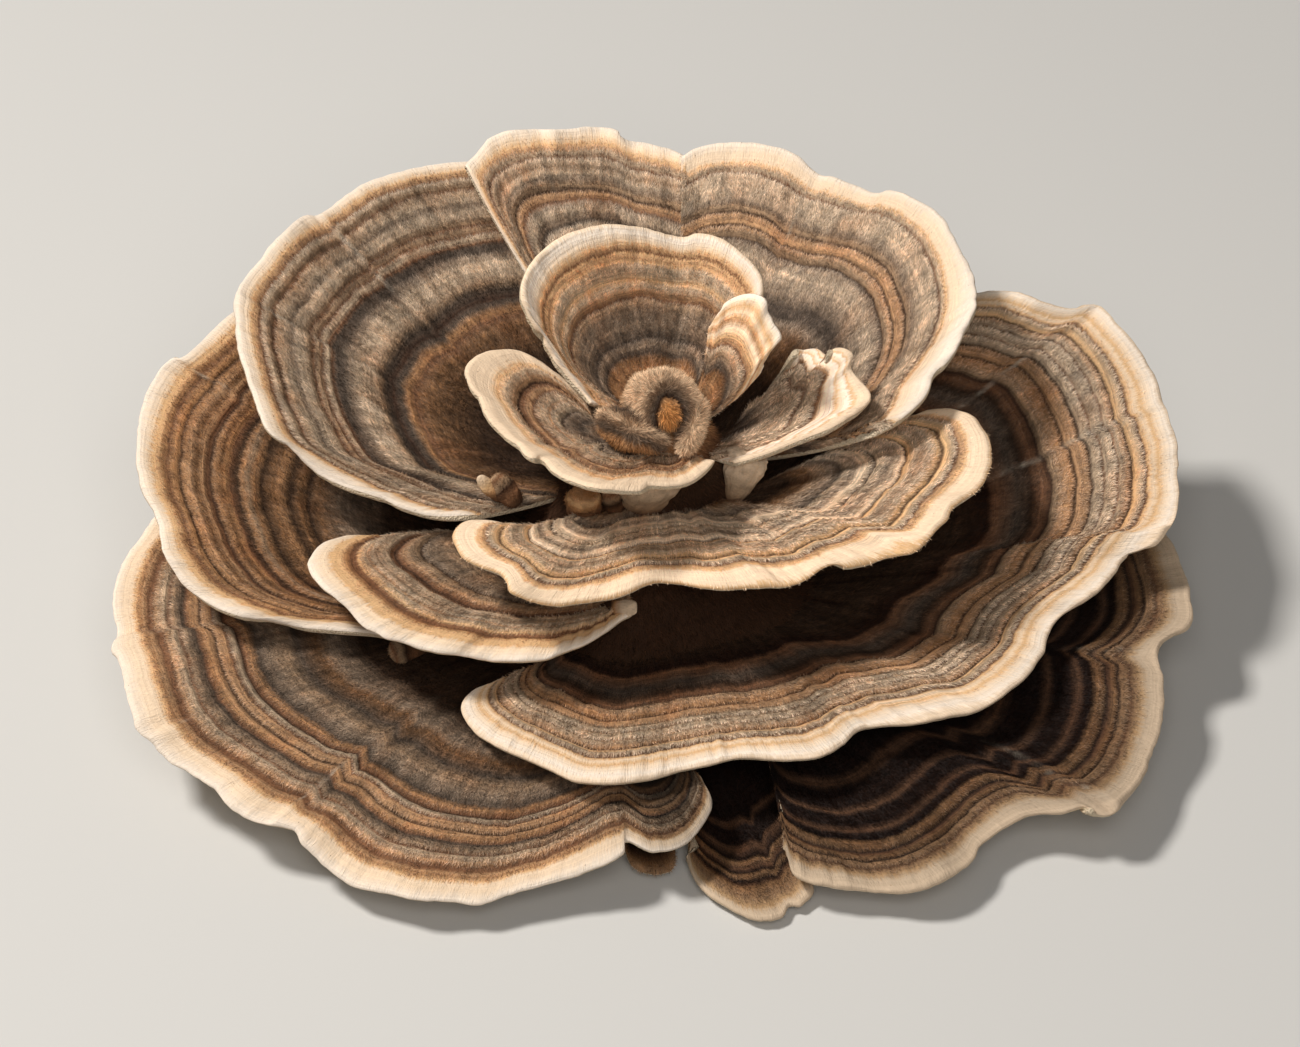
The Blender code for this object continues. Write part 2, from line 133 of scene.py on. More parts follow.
@dataclass(frozen=True)
class Bumps:
    """Smooth noise on a skin: its height, its size along the rim and away from it, and where it starts."""

    height: float
    along: float
    away: float = 1.0
    start_along: float = 0.0
    start_away: float = 0.0

    def at(self, noise, across, radial):
        x = across / self.along + self.start_along
        y = radial / self.away + self.start_away
        return self.height * noise(x, y)


TEETH = (Bumps(0.2, 1.9), Bumps(0.13, 0.8))
TEETH_AWAY = 0.5
TEETH_POWER = 6  # how close to the rim they stay
ZONE_BENDS = Bumps(0.3, 7.0, 6.0)
ZONE_WIGGLES = Bumps(0.15, 2.2, 3.0)
SWELLS = Bumps(0.45, 5.0, 14.0, 9.0)
DIMPLES = Bumps(0.14, 1.7, 4.0, 0.0, 5.0)
PLEATS = Bumps(1.0, 0.9, 9.0)
PLEAT_HEIGHT = 0.32
PLEAT_PLACE = (2.5, 3.0)  # how far from the rim their middle is, and how far they spread
PLEATED = Bumps(1.0, 11.0)  # where along the rim they are
PLEATED_AWAY = 3.5
PLEATED_RISE = 0.5  # so that more of the rim is pleated than not
TUFTS = Bumps(1.0, 0.42, 1.5)
BIG_TUFTS = Bumps(0.6, 1.3, 3.5)
LEANING_TUFTS = Bumps(1.0, 0.9, 1.6)
ROUND_TUFTS = Bumps(0.25, 0.6, 0.9)  # on the holdfast, the bud and the nubs
CREASE_WANDER = Bumps(0.004, 4.0)  # a share of the rim, along the crease
CREASE_AWAY = 7.5
CREASE_FADE = 5.0
CREASE_EDGE = 0.25
CREASE_SLOPE = 4.0
LIP_HEIGHT = 0.25  # of the step's
LIP_WIDTH = 0.35
RIDGE_WIDTH = 0.17
RIDGE_SHARE = 4.0  # how much of the ridge shows for a mm of step
RIDGE_GAPS = Bumps(0.9, 0.7)
RIDGE_GAPS_AWAY = 3.5
RIDGE_SHOWN = (0.6, 0.1, 1.0)  # as a rule, at least and at most


def paint(red, green, blue):
    """A colour as it looks on a screen, in steps of 255, made linear."""
    return tuple(((c / 255 + 0.055) / 1.055) ** 2.4 for c in (red, green, blue))


def solid(colour):
    """The colour as a shader's socket takes it."""
    return (*colour, 1.0)


@dataclass(frozen=True)
class Zone:
    """What one band of a cap looks like: its colour, how far it stands out and how much hair it has."""

    colour: tuple
    height: float
    hair: float


IVORY = Zone(paint(249, 232, 213), 0.1, 0.0)
CREAM = Zone(paint(242, 214, 182), 0.16, 0.0)
HONEY = Zone(paint(228, 184, 134), 0.1, 0.15)
TAN = Zone(paint(205, 159, 116), 0.16, 0.65)
RUST = Zone(paint(136, 94, 64), -0.15, 0.4)
AMBER = Zone(paint(192, 142, 96), 0.12, 0.7)
SAND = Zone(paint(217, 189, 157), 0.4, 1.0)
FAWN = Zone(paint(189, 155, 121), 0.32, 1.0)
GREY = Zone(paint(165, 139, 114), 0.24, 1.0)
SLATE = Zone(paint(103, 86, 72), 0.0, 0.9)
DARK = Zone(paint(66, 42, 26), -0.36, 0.2)
MOSS = Zone(paint(148, 105, 66), 0.14, 1.0)
PEAT = Zone(paint(74, 51, 33), -0.1, 1.0)
UMBER = Zone(paint(52, 26, 10), -0.1, 0.9)
EMBER = Zone(paint(214, 150, 88), 0.0, 0.8)
STRAW = Zone(paint(226, 192, 156), 0.0, 1.0)
ASH = Zone(paint(146, 116, 90), 0.0, 1.0)
PORE_WHITE = paint(228, 212, 186)
PORE_TAN = paint(204, 180, 146)
RIDGE = paint(206, 190, 168)
WARMTH = paint(255, 222, 190)

# How strong the finishes' patterns are, with two numbers for the margin and for how much more inside.
INSIDE = (2.5, 6.0)  # how far from the rim the margin's look turns into the inner one
MARGIN_RAGGED = 1.2  # mm by which the streaks shift the bands there, on top of the next two
FLESH_RAGGED = 0.7
VELVET_RAGGED = 0.4
RIDGE_MIX = 0.8
FINE_STRENGTH = 0.3
FINE_LEAST = 0.85
HAIR_PAINTED_SHADE = 0.3  # how much darker the skin is where the hair is thick: painted shade under the hairs
MARGIN_PAINTED_LIGHT_SHARE = 0.5  # the share of a cap's tone, with its painted light and shade, that its margin has
MARGIN_PAINTED_SHADOW = 0.4  # the same for its painted shadow
PATCH_LIMITS = (0.45, 0.7)
PATCH_SHARE = 0.35
MOTTLE_STRENGTH = 1.6
MOTTLE_REACH = (12.0, 24.0)
RING_STRENGTH = (0.2, 0.6)
LINE_STRENGTH = (0.06, 0.26)
LINE_WIDTH = 0.0022
STREAK_STRENGTH = (0.34, 0.3)
SPECK_LIMITS = (0.7, 0.76)
SPECK_REACH = (3.5, 5.0)
SPECK_SHARE = 0.55
UNDER_LIMITS = (0.45, 0.7)
TIP_FROST = 0.5
FROST = (1.08, 1.0, 0.9)
TIP_SHADE = (0.8, 0.55)  # at a hair's root, and how much more at its tip: pale tips of its own, and painted shade at the root
TUFT_TIP_SHADE = (0.75, 0.5)  # the same on the holdfast, the bud and the nubs
TUFT_GRAIN_SHADE = (0.8, 0.4)
HOLDFAST_RAGGED = 3.0
SMALL_RAGGED = 0.8
SKIN_HEIGHTS = (0.3, 0.7, 0.6)  # of the fine grain, the rings and the streaks
SKIN_BUMP = (0.35, 0.8)  # mm, and how much of it
TUFT_BUMP = 0.15

# How fine they are: bumps in a mm along the rim and in a mm away from it.
STREAKS = (4.5, 0.6)
PATCHES = (0.16, 0.12)
RINGS = (0.045, 1.5)
MOTTLES = (0.9, 0.9)
FINE_GRAIN = (9.0, 1.6)
SPECKS = (2.4, 2.4)

# These keep apart the patterns of the caps, and the patterns on one of them.
PATTERN_STEP = 17.3
RING_SEED = 5.0
MOTTLE_SEED = 9.0
SPECK_SEED = 9.0
FINE_SEED = 3.1

# The same in a metre, in all directions.
PORES = 3600.0
PORE_CLOUDS = 260.0
TUFT_STREAKS = 800.0
TUFT_GRAIN = 4000.0


@dataclass(frozen=True)
class Coat:
    """Hairs: how many on a square mm, how long, and how far from lying flat."""

    density: float
    lengths: tuple
    leans: tuple


VELVET = Coat(54.0, (0.3, 0.75), (15.0, 50.0))
HOLDFAST_COAT = Coat(16.0, (0.5, 1.1), (20.0, 70.0))
BUD_COAT = Coat(75.0, (0.5, 1.1), (25.0, 65.0))
NUB_HAIRS = ((0.25, 0.6), (15.0, 45.0))
MOST_HAIRS = 190_000
HAIR_WIDTH = 0.1
HAIR_ROOT = 0.03  # how far a hair starts below the skin
THIN_LENGTH = 0.55  # a hair's share of its length where the coat is thinnest
TUFT_SHADE = 0.3
TUFT_LEAN = 12.0  # how far whole tufts stand up or lie down
TUFT_YAW = 0.5  # radians that whole tufts turn aside
HAIR_YAW = 0.3  # radians, the spread of single hairs
HAIR_SHADES = 0.27  # the spread of their brightness, as a power of e
PALEST_HAIR = 0.5  # the most, in the same measure


@dataclass(frozen=True, kw_only=True)
class Cap:
    """One cap. Its root line and its rim both run anticlockwise, seen from above."""

    name: str
    bearings: tuple  # degrees from +X at which the root line starts and ends
    heights: tuple  # of the root line's start, middle and end
    rises: tuple  # degrees above level, at even steps along the rim
    rim: tuple  # pixels
    bands: dict  # depth from the rim, on the longest column: zone
    flow: dict  # place along the rim: how far inwards the bands lie there
    dish: float = 0.0  # how far the sheet sags between root and rim
    waves: tuple = (3.0, 0.5)  # number of waves along the rim, height
    bow: float = 0.0  # how far the start side bulges
    folds: tuple = ()  # place along the rim, height, half width
    thickness: float = 2.6  # at its root
    joins: tuple = (None, None)  # how far the start and end sides reach over to a neighbour, at root and rim
    borders: tuple = (0.0, 0.0)  # how closely the bands turn to follow the start and end sides
    cuts: tuple = ((0.0, 1.0), (0.0, 1.0))  # depth of the zone at the start and end of the rim, and its share
    tone: float = 1.0  # of its colours: below 1 painted shade of the caps above, above 1 partly paler colour and partly painted light
    creases: tuple = ()  # place along the rim, step in height, depth where it ends
    painted_shadow: tuple = ()  # place along the rim, half width, share of the colours' brightness there: a painted shadow of a cap above


CAPS = (
    Cap(
        name="back_left_cap",
        bearings=(115, 216),
        heights=(29.0, 28.0, 28.0),
        rises=(19, 18, 16, 14, 10, 3, -2),
        rim=(
            (462, 164), (440, 163), (400, 170), (360, 185), (323, 211), (306, 213), (288, 228), (264, 253),
            (247, 276), (235, 297), (237, 317), (239, 341), (247, 370), (258, 402), (270, 429), (291, 449),
            (317, 470), (349, 483), (379, 493), (405, 505), (434, 511), (467, 510),
        ),
        dish=3.0,
        waves=(3.5, 0.7),
        folds=((0.3, 1.2, 0.05), (0.43, 0.9, 0.04)),
        joins=((1.0, 1.6), None),
        thickness=3.6,
        bands={
            0: IVORY, 1.4: CREAM, 2: HONEY, 2.7: TAN, 3.2: RUST, 3.7: SAND, 4.5: FAWN, 5.1: RUST, 5.6: FAWN,
            6.8: SAND, 7.7: GREY, 8.4: SAND, 9.4: SAND, 10: FAWN, 10.5: RUST, 11.1: FAWN, 11.8: RUST,
            12.5: SAND, 13.2: RUST, 13.8: SLATE, 14.8: SLATE, 15.8: GREY, 17.2: SAND, 18.8: SAND,
            20.2: FAWN, 21: SLATE, 22.2: DARK, 23.4: SLATE, 24.4: AMBER, 25.4: RUST, 27: MOSS, 34: PEAT,
        },
        flow={
            0: -0.9, 0.235: -0.9, 0.245: 0, 0.435: 0, 0.445: 0.6, 0.6: 0.6, 0.7: 0.9, 0.78: 4, 0.9: 2,
        },
        creases=((0.24, -0.3, 20), (0.44, 0.25, 20)),
    ),
    Cap(
        name="back_middle_cap",
        bearings=(72, 109),
        heights=(30.0, 30.5, 31.0),
        rises=(21, 21, 22, 22, 21),
        rim=(
            (680, 155), (657, 144), (628, 138), (616, 129), (592, 125), (557, 128), (519, 128), (493, 135),
            (475, 153), (465, 165),
        ),
        dish=2.5,
        waves=(4.0, 0.6),
        tone=1.12,
        joins=((1.0, 0.8), None),
        borders=(0.0, 4.5),
        bands={
            0: IVORY, 1.3: CREAM, 2.2: HONEY, 2.9: TAN, 3.4: SAND, 4.1: RUST, 4.6: SAND, 5.6: FAWN,
            6.4: SAND, 7.2: GREY, 7.9: FAWN, 8.4: DARK, 9: TAN, 9.8: RUST, 10.5: GREY, 11.3: SAND,
            12.2: GREY, 12.9: SLATE, 13.8: SAND, 16: FAWN, 18.5: SLATE, 20: GREY, 23: AMBER, 25: SLATE,
            28: MOSS, 32: PEAT,
        },
        flow={0: 0, 0.2: 0.4, 0.35: -0.1, 0.7: 0.2, 1: -0.3},
        creases=((0.27, 0.1, 10), (0.63, 0.12, 12)),
    ),
    Cap(
        name="back_right_cap",
        bearings=(-10, 62),
        heights=(31.0, 30.5, 30.0),
        rises=(17, 18, 18, 19, 20, 21),
        rim=(
            (873, 427), (895, 417), (912, 404), (925, 389), (934, 367), (949, 354), (962, 330), (971, 309),
            (974, 285), (964, 257), (949, 228), (934, 209), (908, 194), (889, 188), (873, 190), (834, 175),
            (818, 172), (798, 154), (771, 144), (736, 140), (716, 142), (698, 148), (687, 157),
        ),
        dish=2.5,
        waves=(4.0, 0.6),
        folds=((0.74, -1.2, 0.03),),
        joins=(None, (1.0, 0.8)),
        tone=1.1,
        # Deeper, darker bands at its start side: painted shade there.
        cuts=((9.0, 0.05), (0.0, 1.0)),
        bands={
            0: IVORY, 1.4: CREAM, 2.2: CREAM, 2.8: HONEY, 3.4: SAND, 4: RUST, 4.5: SAND, 6.2: SAND,
            7.2: SAND, 8.3: GREY, 8.9: FAWN, 9.4: DARK, 9.9: TAN, 10.9: TAN, 11.3: DARK, 11.8: TAN,
            12.5: FAWN, 13.1: DARK, 13.8: GREY, 15.5: SAND, 18.5: GREY, 19.8: SLATE, 21.5: SLATE, 23: GREY,
            25: MOSS, 28: MOSS, 32: PEAT,
        },
        flow={
            0: 2, 0.1: 2.5, 0.2: 4, 0.3: 2.8, 0.4: 1, 0.5: 0.2, 0.63: -0.4, 0.75: 0, 0.76: 0.4, 1: 0.3,
        },
        creases=((0.755, 0.2, 12),),
    ),
    Cap(
        name="inner_back_cap",
        bearings=(50, 160),
        heights=(38.4, 38.2, 38.4),
        rises=(38, 46, 52, 53, 50, 44, 36),
        rim=(
            (757, 306), (760, 295), (760, 279), (751, 264), (736, 250), (719, 238), (698, 234), (683, 238),
            (657, 232), (640, 228), (610, 225), (587, 229), (563, 238), (540, 255), (528, 273), (524, 291),
            (528, 308), (543, 335), (563, 364), (581, 384), (594, 400),
        ),
        dish=1.6,
        waves=(3.0, 0.3),
        thickness=2.0,
        tone=1.25,
        bands={
            0: CREAM, 0.7: IVORY, 1.8: CREAM, 2.6: HONEY, 3: TAN, 3.3: RUST, 3.7: HONEY, 4.2: TAN,
            4.7: HONEY, 5.3: SAND, 6.2: SAND, 7: HONEY, 7.8: SAND, 8.6: TAN, 9.3: RUST, 9.9: FAWN,
            11.2: GREY, 13: GREY, 14.5: SLATE, 15.6: GREY, 16.4: SLATE, 17.2: MOSS, 18.5: AMBER, 21: PEAT,
        },
        flow={0: -0.5, 0.3: -0.4, 0.5: 0, 0.7: 1.2, 0.8: 2.5, 1: 2.5},
    ),
    Cap(
        name="inner_right_cap",
        bearings=(-42, 20),
        heights=(37.2, 37.8, 38.2),
        rises=(30, 44, 54, 60, 62, 60),
        rim=(
            (748, 387), (763, 373), (766, 364), (777, 346), (777, 335), (768, 317), (763, 300), (748, 294),
            (730, 300), (716, 314), (707, 330),
        ),
        dish=1.0,
        waves=(2.0, 0.2),
        thickness=1.8,
        cuts=((0.0, 1.0), (3.0, 0.12)),
        tone=1.45,
        bands={
            0: IVORY, 1: CREAM, 1.8: HONEY, 2.8: CREAM, 3.4: HONEY, 3.9: TAN, 4.8: CREAM, 6: HONEY,
            6.8: TAN, 7.3: RUST, 8: SAND, 9: FAWN, 10: GREY, 11: SLATE, 11.8: MOSS, 13.5: AMBER, 16.5: PEAT,
        },
        flow={0: 0, 0.5: -0.5, 0.8: -1.5, 1: -2},
    ),
    Cap(
        name="inner_front_cap",
        bearings=(200, 302),
        heights=(36.6, 36.6, 36.4),
        rises=(22, 24, 23, 22, 22, 22, 20),
        rim=(
            (588, 402), (572, 386), (555, 370), (539, 359), (520, 349), (504, 347), (486, 350), (472, 359),
            (467, 370), (472, 384), (481, 396), (488, 412), (502, 428), (520, 442), (529, 452), (543, 455),
            (555, 467), (571, 476), (596, 483), (635, 486), (647, 481), (670, 481), (688, 478), (704, 467),
            (713, 456),
        ),
        dish=0.8,
        waves=(4.0, 0.4),
        thickness=2.0,
        tone=1.12,
        bands={
            0: CREAM, 0.7: CREAM, 2.4: CREAM, 3.4: HONEY, 4.6: SAND, 5.6: TAN, 6.1: DARK, 6.8: RUST,
            7.5: TAN, 8.1: RUST, 8.8: FAWN, 9.8: SAND, 10.3: TAN, 10.9: SAND, 11.6: SAND, 12.2: DARK,
            12.8: GREY, 14.6: SLATE, 15.4: GREY, 17: MOSS, 19: PEAT,
        },
        flow={
            0: -2, 0.15: -1.5, 0.3: 0.6, 0.45: 0.4, 0.5: -0.4, 0.53: 1.2, 0.57: -0.3, 0.7: 0.6, 0.8: 3,
            0.85: 1.5, 1: 0,
        },
    ),
    Cap(
        name="inner_side_cap",
        bearings=(-52, -4),
        heights=(34.2, 34.0, 34.0),
        rises=(20, 18, 17, 18, 24, 26, 24),
        rim=(
            (731, 459), (750, 454), (776, 445), (802, 434), (830, 423), (847, 413), (865, 402), (869, 393),
            (859, 379), (851, 367), (853, 356), (845, 347), (833, 346), (826, 354), (816, 347), (804, 350),
            (800, 362), (787, 374), (765, 393), (750, 402),
        ),
        dish=0.8,
        waves=(2.0, 0.4),
        folds=((0.62, 1.2, 0.06),),
        thickness=1.8,
        cuts=((0.0, 1.0), (11.0, 0.3)),
        tone=1.2,
        bands={
            0: CREAM, 1.2: CREAM, 1.6: HONEY, 2.1: IVORY, 3.2: CREAM, 3.5: HONEY, 4: IVORY, 5.4: CREAM,
            5.8: TAN, 6.3: RUST, 6.9: SAND, 8.6: SAND, 9.6: RUST, 10.2: SAND, 12: FAWN, 14: SAND, 16: GREY,
            18: SLATE, 20: PEAT,
        },
        flow={0: -1, 0.3: 1, 0.5: 0, 0.6: -3, 1: -3},
    ),
    Cap(
        name="upper_front_cap",
        bearings=(240, 330),
        heights=(29.5, 28.5, 27.5),
        rises=(4, 7, 0, -3, -2, 1, 6, 9, 10, 8),
        rim=(
            (492, 518), (465, 518), (454, 527), (453, 536), (461, 552), (479, 563), (497, 569), (507, 578),
            (511, 589), (527, 598), (550, 603), (575, 601), (610, 596), (633, 588), (660, 580), (697, 585),
            (728, 586), (767, 584), (788, 583), (806, 577), (827, 565), (849, 564), (871, 560), (901, 553),
            (918, 547), (934, 530), (947, 517), (955, 501), (979, 486), (989, 471), (992, 456), (989, 436),
            (977, 417), (962, 408), (940, 406), (910, 414), (885, 424),
        ),
        dish=-0.6,
        waves=(7.0, 0.6),
        bow=2.8,
        thickness=3.2,
        tone=1.22,
        # The very edge is darker than the margin just inside it: painted shade on the rim's rounded
        # underside.
        bands={
            0: HONEY, 0.5: CREAM, 1.8: CREAM, 3: CREAM, 3.7: HONEY, 4.6: TAN, 5: RUST, 5.4: SAND,
            6.4: HONEY, 6.9: DARK, 7.4: HONEY, 8.4: SAND, 9.4: FAWN, 10.2: SAND, 11: HONEY, 11.4: DARK,
            11.8: CREAM, 12.7: SAND, 13.4: GREY, 14.2: SAND, 14.9: SAND, 15.3: DARK, 15.8: SAND, 17: CREAM,
            17.8: GREY, 19: SAND, 19.8: SLATE, 21: GREY, 22.5: FAWN, 24: MOSS, 27: PEAT,
        },
        flow={
            0: -0.3, 0.06: -0.3, 0.15: -1.4, 0.2: -0.9, 0.25: 0.3, 0.3: 1, 0.36: 0.2, 0.41: 1.1, 0.44: 0.7,
            0.48: 2.6, 0.505: 1.7, 0.55: -0.1, 0.6: 2.2, 0.66: 3.6, 0.685: -1, 0.72: -0.8, 0.77: 0.4,
            0.83: -0.9, 0.88: -1.7, 1: -1.7,
        },
    ),
    Cap(
        name="front_left_cap",
        bearings=(194, 262),
        heights=(21.5, 20.5, 20.5),
        rises=(7, 9, 7, 3, 1, 2, 5),
        rim=(
            (392, 534), (360, 534), (339, 535), (321, 541), (309, 555), (310, 569), (318, 580), (334, 594),
            (346, 605), (364, 624), (385, 635), (415, 644), (447, 652), (479, 657), (507, 658), (543, 657),
            (564, 649), (589, 640), (608, 628), (621, 617), (634, 611),
        ),
        dish=-0.8,
        waves=(4.0, 0.5),
        thickness=3.6,
        bands={
            0: IVORY, 1.5: CREAM, 2.1: CREAM, 2.7: HONEY, 4: HONEY, 4.5: AMBER, 5: RUST, 5.7: RUST,
            6.1: HONEY, 7: SAND, 7.4: TAN, 7.9: SAND, 8.6: FAWN, 9.8: SAND, 10.4: RUST, 10.9: DARK,
            11.5: RUST, 12.2: TAN, 12.9: FAWN, 13.6: FAWN, 14.1: DARK, 14.8: GREY, 18: FAWN, 19.5: SLATE,
            23: MOSS, 28: PEAT,
        },
        flow={0: 0, 0.2: -0.3, 0.4: 0, 0.6: 0.4, 0.75: 0.8, 0.85: 0, 1: 0},
    ),
    Cap(
        name="left_cap",
        bearings=(112, 222),
        heights=(20.0, 17.5, 16.5),
        rises=(20, 19, 18, 16, 13, 11, 6, 3, 2),
        rim=(
            (490, 305), (440, 275), (380, 262), (320, 262), (270, 285), (226, 317), (203, 338), (181, 357),
            (168, 361), (156, 373), (144, 399), (138, 429), (139, 464), (144, 490), (156, 511), (161, 534),
            (165, 550), (176, 571), (191, 589), (225, 607), (257, 616), (288, 622), (322, 625), (361, 628),
            (395, 632),
        ),
        dish=2.0,
        waves=(5.0, 0.7),
        folds=((0.42, 1.4, 0.03),),
        thickness=3.6,
        bands={
            0: IVORY, 1.4: CREAM, 2: HONEY, 2.6: HONEY, 3.2: AMBER, 3.9: RUST, 4.4: AMBER, 5: AMBER,
            5.5: DARK, 6: AMBER, 6.8: TAN, 7.6: MOSS, 8.4: TAN, 9: RUST, 9.6: DARK, 10.2: AMBER, 11: MOSS,
            11.6: AMBER, 12.2: RUST, 13.2: PEAT, 13.8: AMBER, 14.6: FAWN, 15.2: AMBER, 16.4: PEAT,
            17.6: MOSS, 18.8: AMBER, 20.2: PEAT, 21.4: MOSS, 22.6: PEAT, 24: MOSS, 27: GREY, 33: PEAT,
        },
        flow={
            0: 0, 0.33: -0.3, 0.43: -0.4, 0.445: 0.5, 0.52: 0.6, 0.6: 0.1, 0.62: -0.3, 0.68: 0, 0.75: 0.8,
            0.82: 2.5, 1: 3,
        },
        creases=((0.435, -0.3, 9),),
    ),
    Cap(
        name="lower_left_cap",
        bearings=(152, 262),
        heights=(11.0, 9.5, 8.0),
        rises=(9, 10, 9, 6, 4, 0, -4, -6, -5, 1, 2),
        rim=(
            (375, 470), (310, 455), (240, 460), (190, 485), (156, 513), (139, 537), (123, 557), (114, 584),
            (113, 610), (116, 631), (110, 646), (117, 657), (125, 688), (131, 712), (139, 730), (152, 743),
            (168, 759), (191, 772), (212, 785), (231, 806), (257, 820), (293, 827), (304, 843), (322, 863),
            (348, 882), (382, 890), (414, 897), (453, 901), (479, 903), (510, 892), (555, 880), (590, 868),
            (622, 851), (627, 838), (652, 849), (681, 844), (705, 820), (713, 798), (703, 777),
        ),
        dish=-1.5,
        waves=(6.0, 0.8),
        folds=((0.31, -1.0, 0.02), (0.56, 1.2, 0.03)),
        thickness=3.6,
        bands={
            0: IVORY, 1.8: CREAM, 2.8: CREAM, 3.4: HONEY, 4: AMBER, 4.5: TAN, 5.1: RUST, 5.7: RUST,
            6.2: TAN, 7.2: SAND, 7.8: RUST, 8.4: FAWN, 9: GREY, 9.6: SLATE, 10.1: RUST, 10.6: AMBER,
            11.3: TAN, 11.8: DARK, 12.3: TAN, 13: TAN, 13.4: RUST, 14: SAND, 14.6: DARK, 15.1: RUST,
            15.8: AMBER, 16.8: SLATE, 18.4: GREY, 20: FAWN, 22: SLATE, 24.4: MOSS, 26: GREY, 30: PEAT,
        },
        # From 0.9 on, the bands lie deeper, partly as they do on the fungus and partly to paint the shade of
        # the large cap above on the end lobe.
        flow={
            0: -0.9, 0.325: -0.9, 0.335: 0.4, 0.44: 0.4, 0.54: 0.4, 0.562: 1.4, 0.58: -1, 0.6: 0.2, 0.7: 0,
            0.8: -0.3, 0.85: 0.9, 0.875: 0.2, 0.9: -3, 0.94: -4, 1: -4,
        },
        creases=((0.33, 0.35, 14), (0.565, 0.3, 16), (0.44, 0.12, 12)),
        # a painted shadow of the large cap above, on the end lobe
        painted_shadow=((0.94, 0.07, 0.22),),
    ),
    Cap(
        name="large_right_cap",
        bearings=(-118, 80),
        heights=(13.5, 14.0, 18.0),
        rises=(0, -1, -3, -2, 0, 3, 7, 12, 15, 20, 21, 17),
        rim=(
            (482, 685), (469, 691), (461, 705), (472, 726), (494, 742), (528, 757), (555, 769), (574, 778),
            (606, 780), (649, 777), (681, 768), (708, 762), (740, 755), (785, 757), (821, 753), (845, 740),
            (863, 726), (908, 723), (947, 713), (977, 708), (1004, 692), (1028, 671), (1043, 650),
            (1049, 632), (1058, 619), (1086, 598), (1108, 577), (1124, 557), (1139, 551), (1157, 542),
            (1174, 518), (1178, 482), (1176, 440), (1167, 412), (1153, 369), (1131, 338), (1110, 312),
            (1096, 303), (1077, 308), (1049, 303), (1020, 291), (992, 288), (974, 291), (930, 288),
            (870, 295), (800, 310), (740, 335),
        ),
        dish=0.5,
        waves=(8.0, 0.8),
        folds=((0.55, 0.3, 0.02), (0.645, -0.4, 0.02), (0.72, 1.2, 0.025), (0.8, 1.2, 0.02)),
        thickness=3.6,
        # The very edge is darker than the margin just inside it: painted shade on the rim's rounded
        # underside.
        bands={
            0: CREAM, 1: IVORY, 2.4: CREAM, 3.2: HONEY, 4: CREAM, 4.8: HONEY, 5.3: RUST, 5.8: SAND,
            6.8: HONEY, 7.2: DARK, 7.6: TAN, 8.6: SAND, 9: RUST, 9.4: SAND, 10.5: SAND, 10.9: RUST,
            11.3: SAND, 12: SAND, 12.5: DARK, 13: TAN, 14.1: TAN, 14.6: DARK, 15.1: AMBER, 16.2: TAN,
            17.2: FAWN, 17.8: DARK, 19: RUST, 20.5: PEAT, 22.5: SLATE, 25.5: RUST, 26.5: UMBER, 31: PEAT,
        },
        flow={
            0: 1, 0.1: 1.8, 0.17: 1.2, 0.22: 0, 0.26: 1.9, 0.3: 0.8, 0.32: 1.6, 0.34: 3.3, 0.385: 3.5,
            0.4: 1.5, 0.45: -0.2, 0.49: 1.2, 0.53: -0.1, 0.56: 2.8, 0.572: 2.8, 0.58: 0, 0.6: -0.8,
            0.664: -1.1, 0.668: -0.4, 0.7: -0.7, 0.755: -1.8, 0.765: -1, 0.79: -2.2, 0.83: -1.5, 1: -1,
        },
        creases=((0.575, -0.5, 26), (0.666, 0.3, 26), (0.757, 0.35, 26)),
    ),
    Cap(
        name="lower_right_cap",
        bearings=(-58, 34),
        heights=(7.0, 7.0, 8.5),
        rises=(-3, -3, -2, 0, 2, 6, 8, 9, 8),
        rim=(
            (777, 815), (784, 839), (787, 854), (794, 872), (815, 881), (860, 888), (908, 891), (944, 878),
            (971, 860), (983, 842), (1010, 824), (1028, 816), (1058, 812), (1085, 803), (1109, 812),
            (1136, 785), (1154, 752), (1163, 716), (1163, 674), (1158, 653), (1166, 639), (1190, 623),
            (1190, 590), (1181, 560), (1160, 525), (1110, 490), (1040, 470), (970, 470),
        ),
        dish=-0.5,
        waves=(5.0, 0.8),
        folds=((0.39, 1.8, 0.04),),
        thickness=3.0,
        cuts=((9.0, 0.05), (0.0, 1.0)),
        # Its tone and its darkest inner bands paint the shade of the large cap above it, on top of its own
        # dark browns.
        tone=0.45,
        bands={
            0: CREAM, 2: CREAM, 3: HONEY, 3.7: TAN, 4.2: RUST, 4.7: TAN, 5.3: TAN, 5.7: DARK, 6.3: AMBER,
            6.9: RUST, 7.4: DARK, 8: AMBER, 8.8: AMBER, 9.4: UMBER, 10.2: UMBER, 11: RUST, 12: UMBER,
            14: UMBER, 14.8: RUST, 16: UMBER, 19: UMBER, 20.5: RUST, 22: UMBER, 34: UMBER,
        },
        flow={
            0: 0, 0.16: 0.2, 0.29: 0, 0.35: 1.5, 0.38: -0.2, 0.41: 2.5, 0.425: 0, 0.59: 0, 0.605: 2,
            0.62: 0, 1: 0,
        },
        creases=((0.417, 0.4, 20), (0.61, 0.3, 14)),
    ),
    Cap(
        name="tongue_cap",
        bearings=(-82, -74),
        heights=(3.0, 3.0, 3.0),
        rises=(-1.5, -2, -2, -1.5),
        rim=(
            (689, 845), (692, 871), (705, 889), (724, 903), (745, 914), (764, 918), (783, 914), (788, 903),
            (799, 903), (812, 889), (803, 872),
        ),
        dish=-0.2,
        waves=(2.0, 0.2),
        thickness=1.6,
        joins=(None, (7.0, 0.5)),
        # Its tone and its darkest inner bands paint the shade of the large cap above it.
        tone=0.5,
        bands={
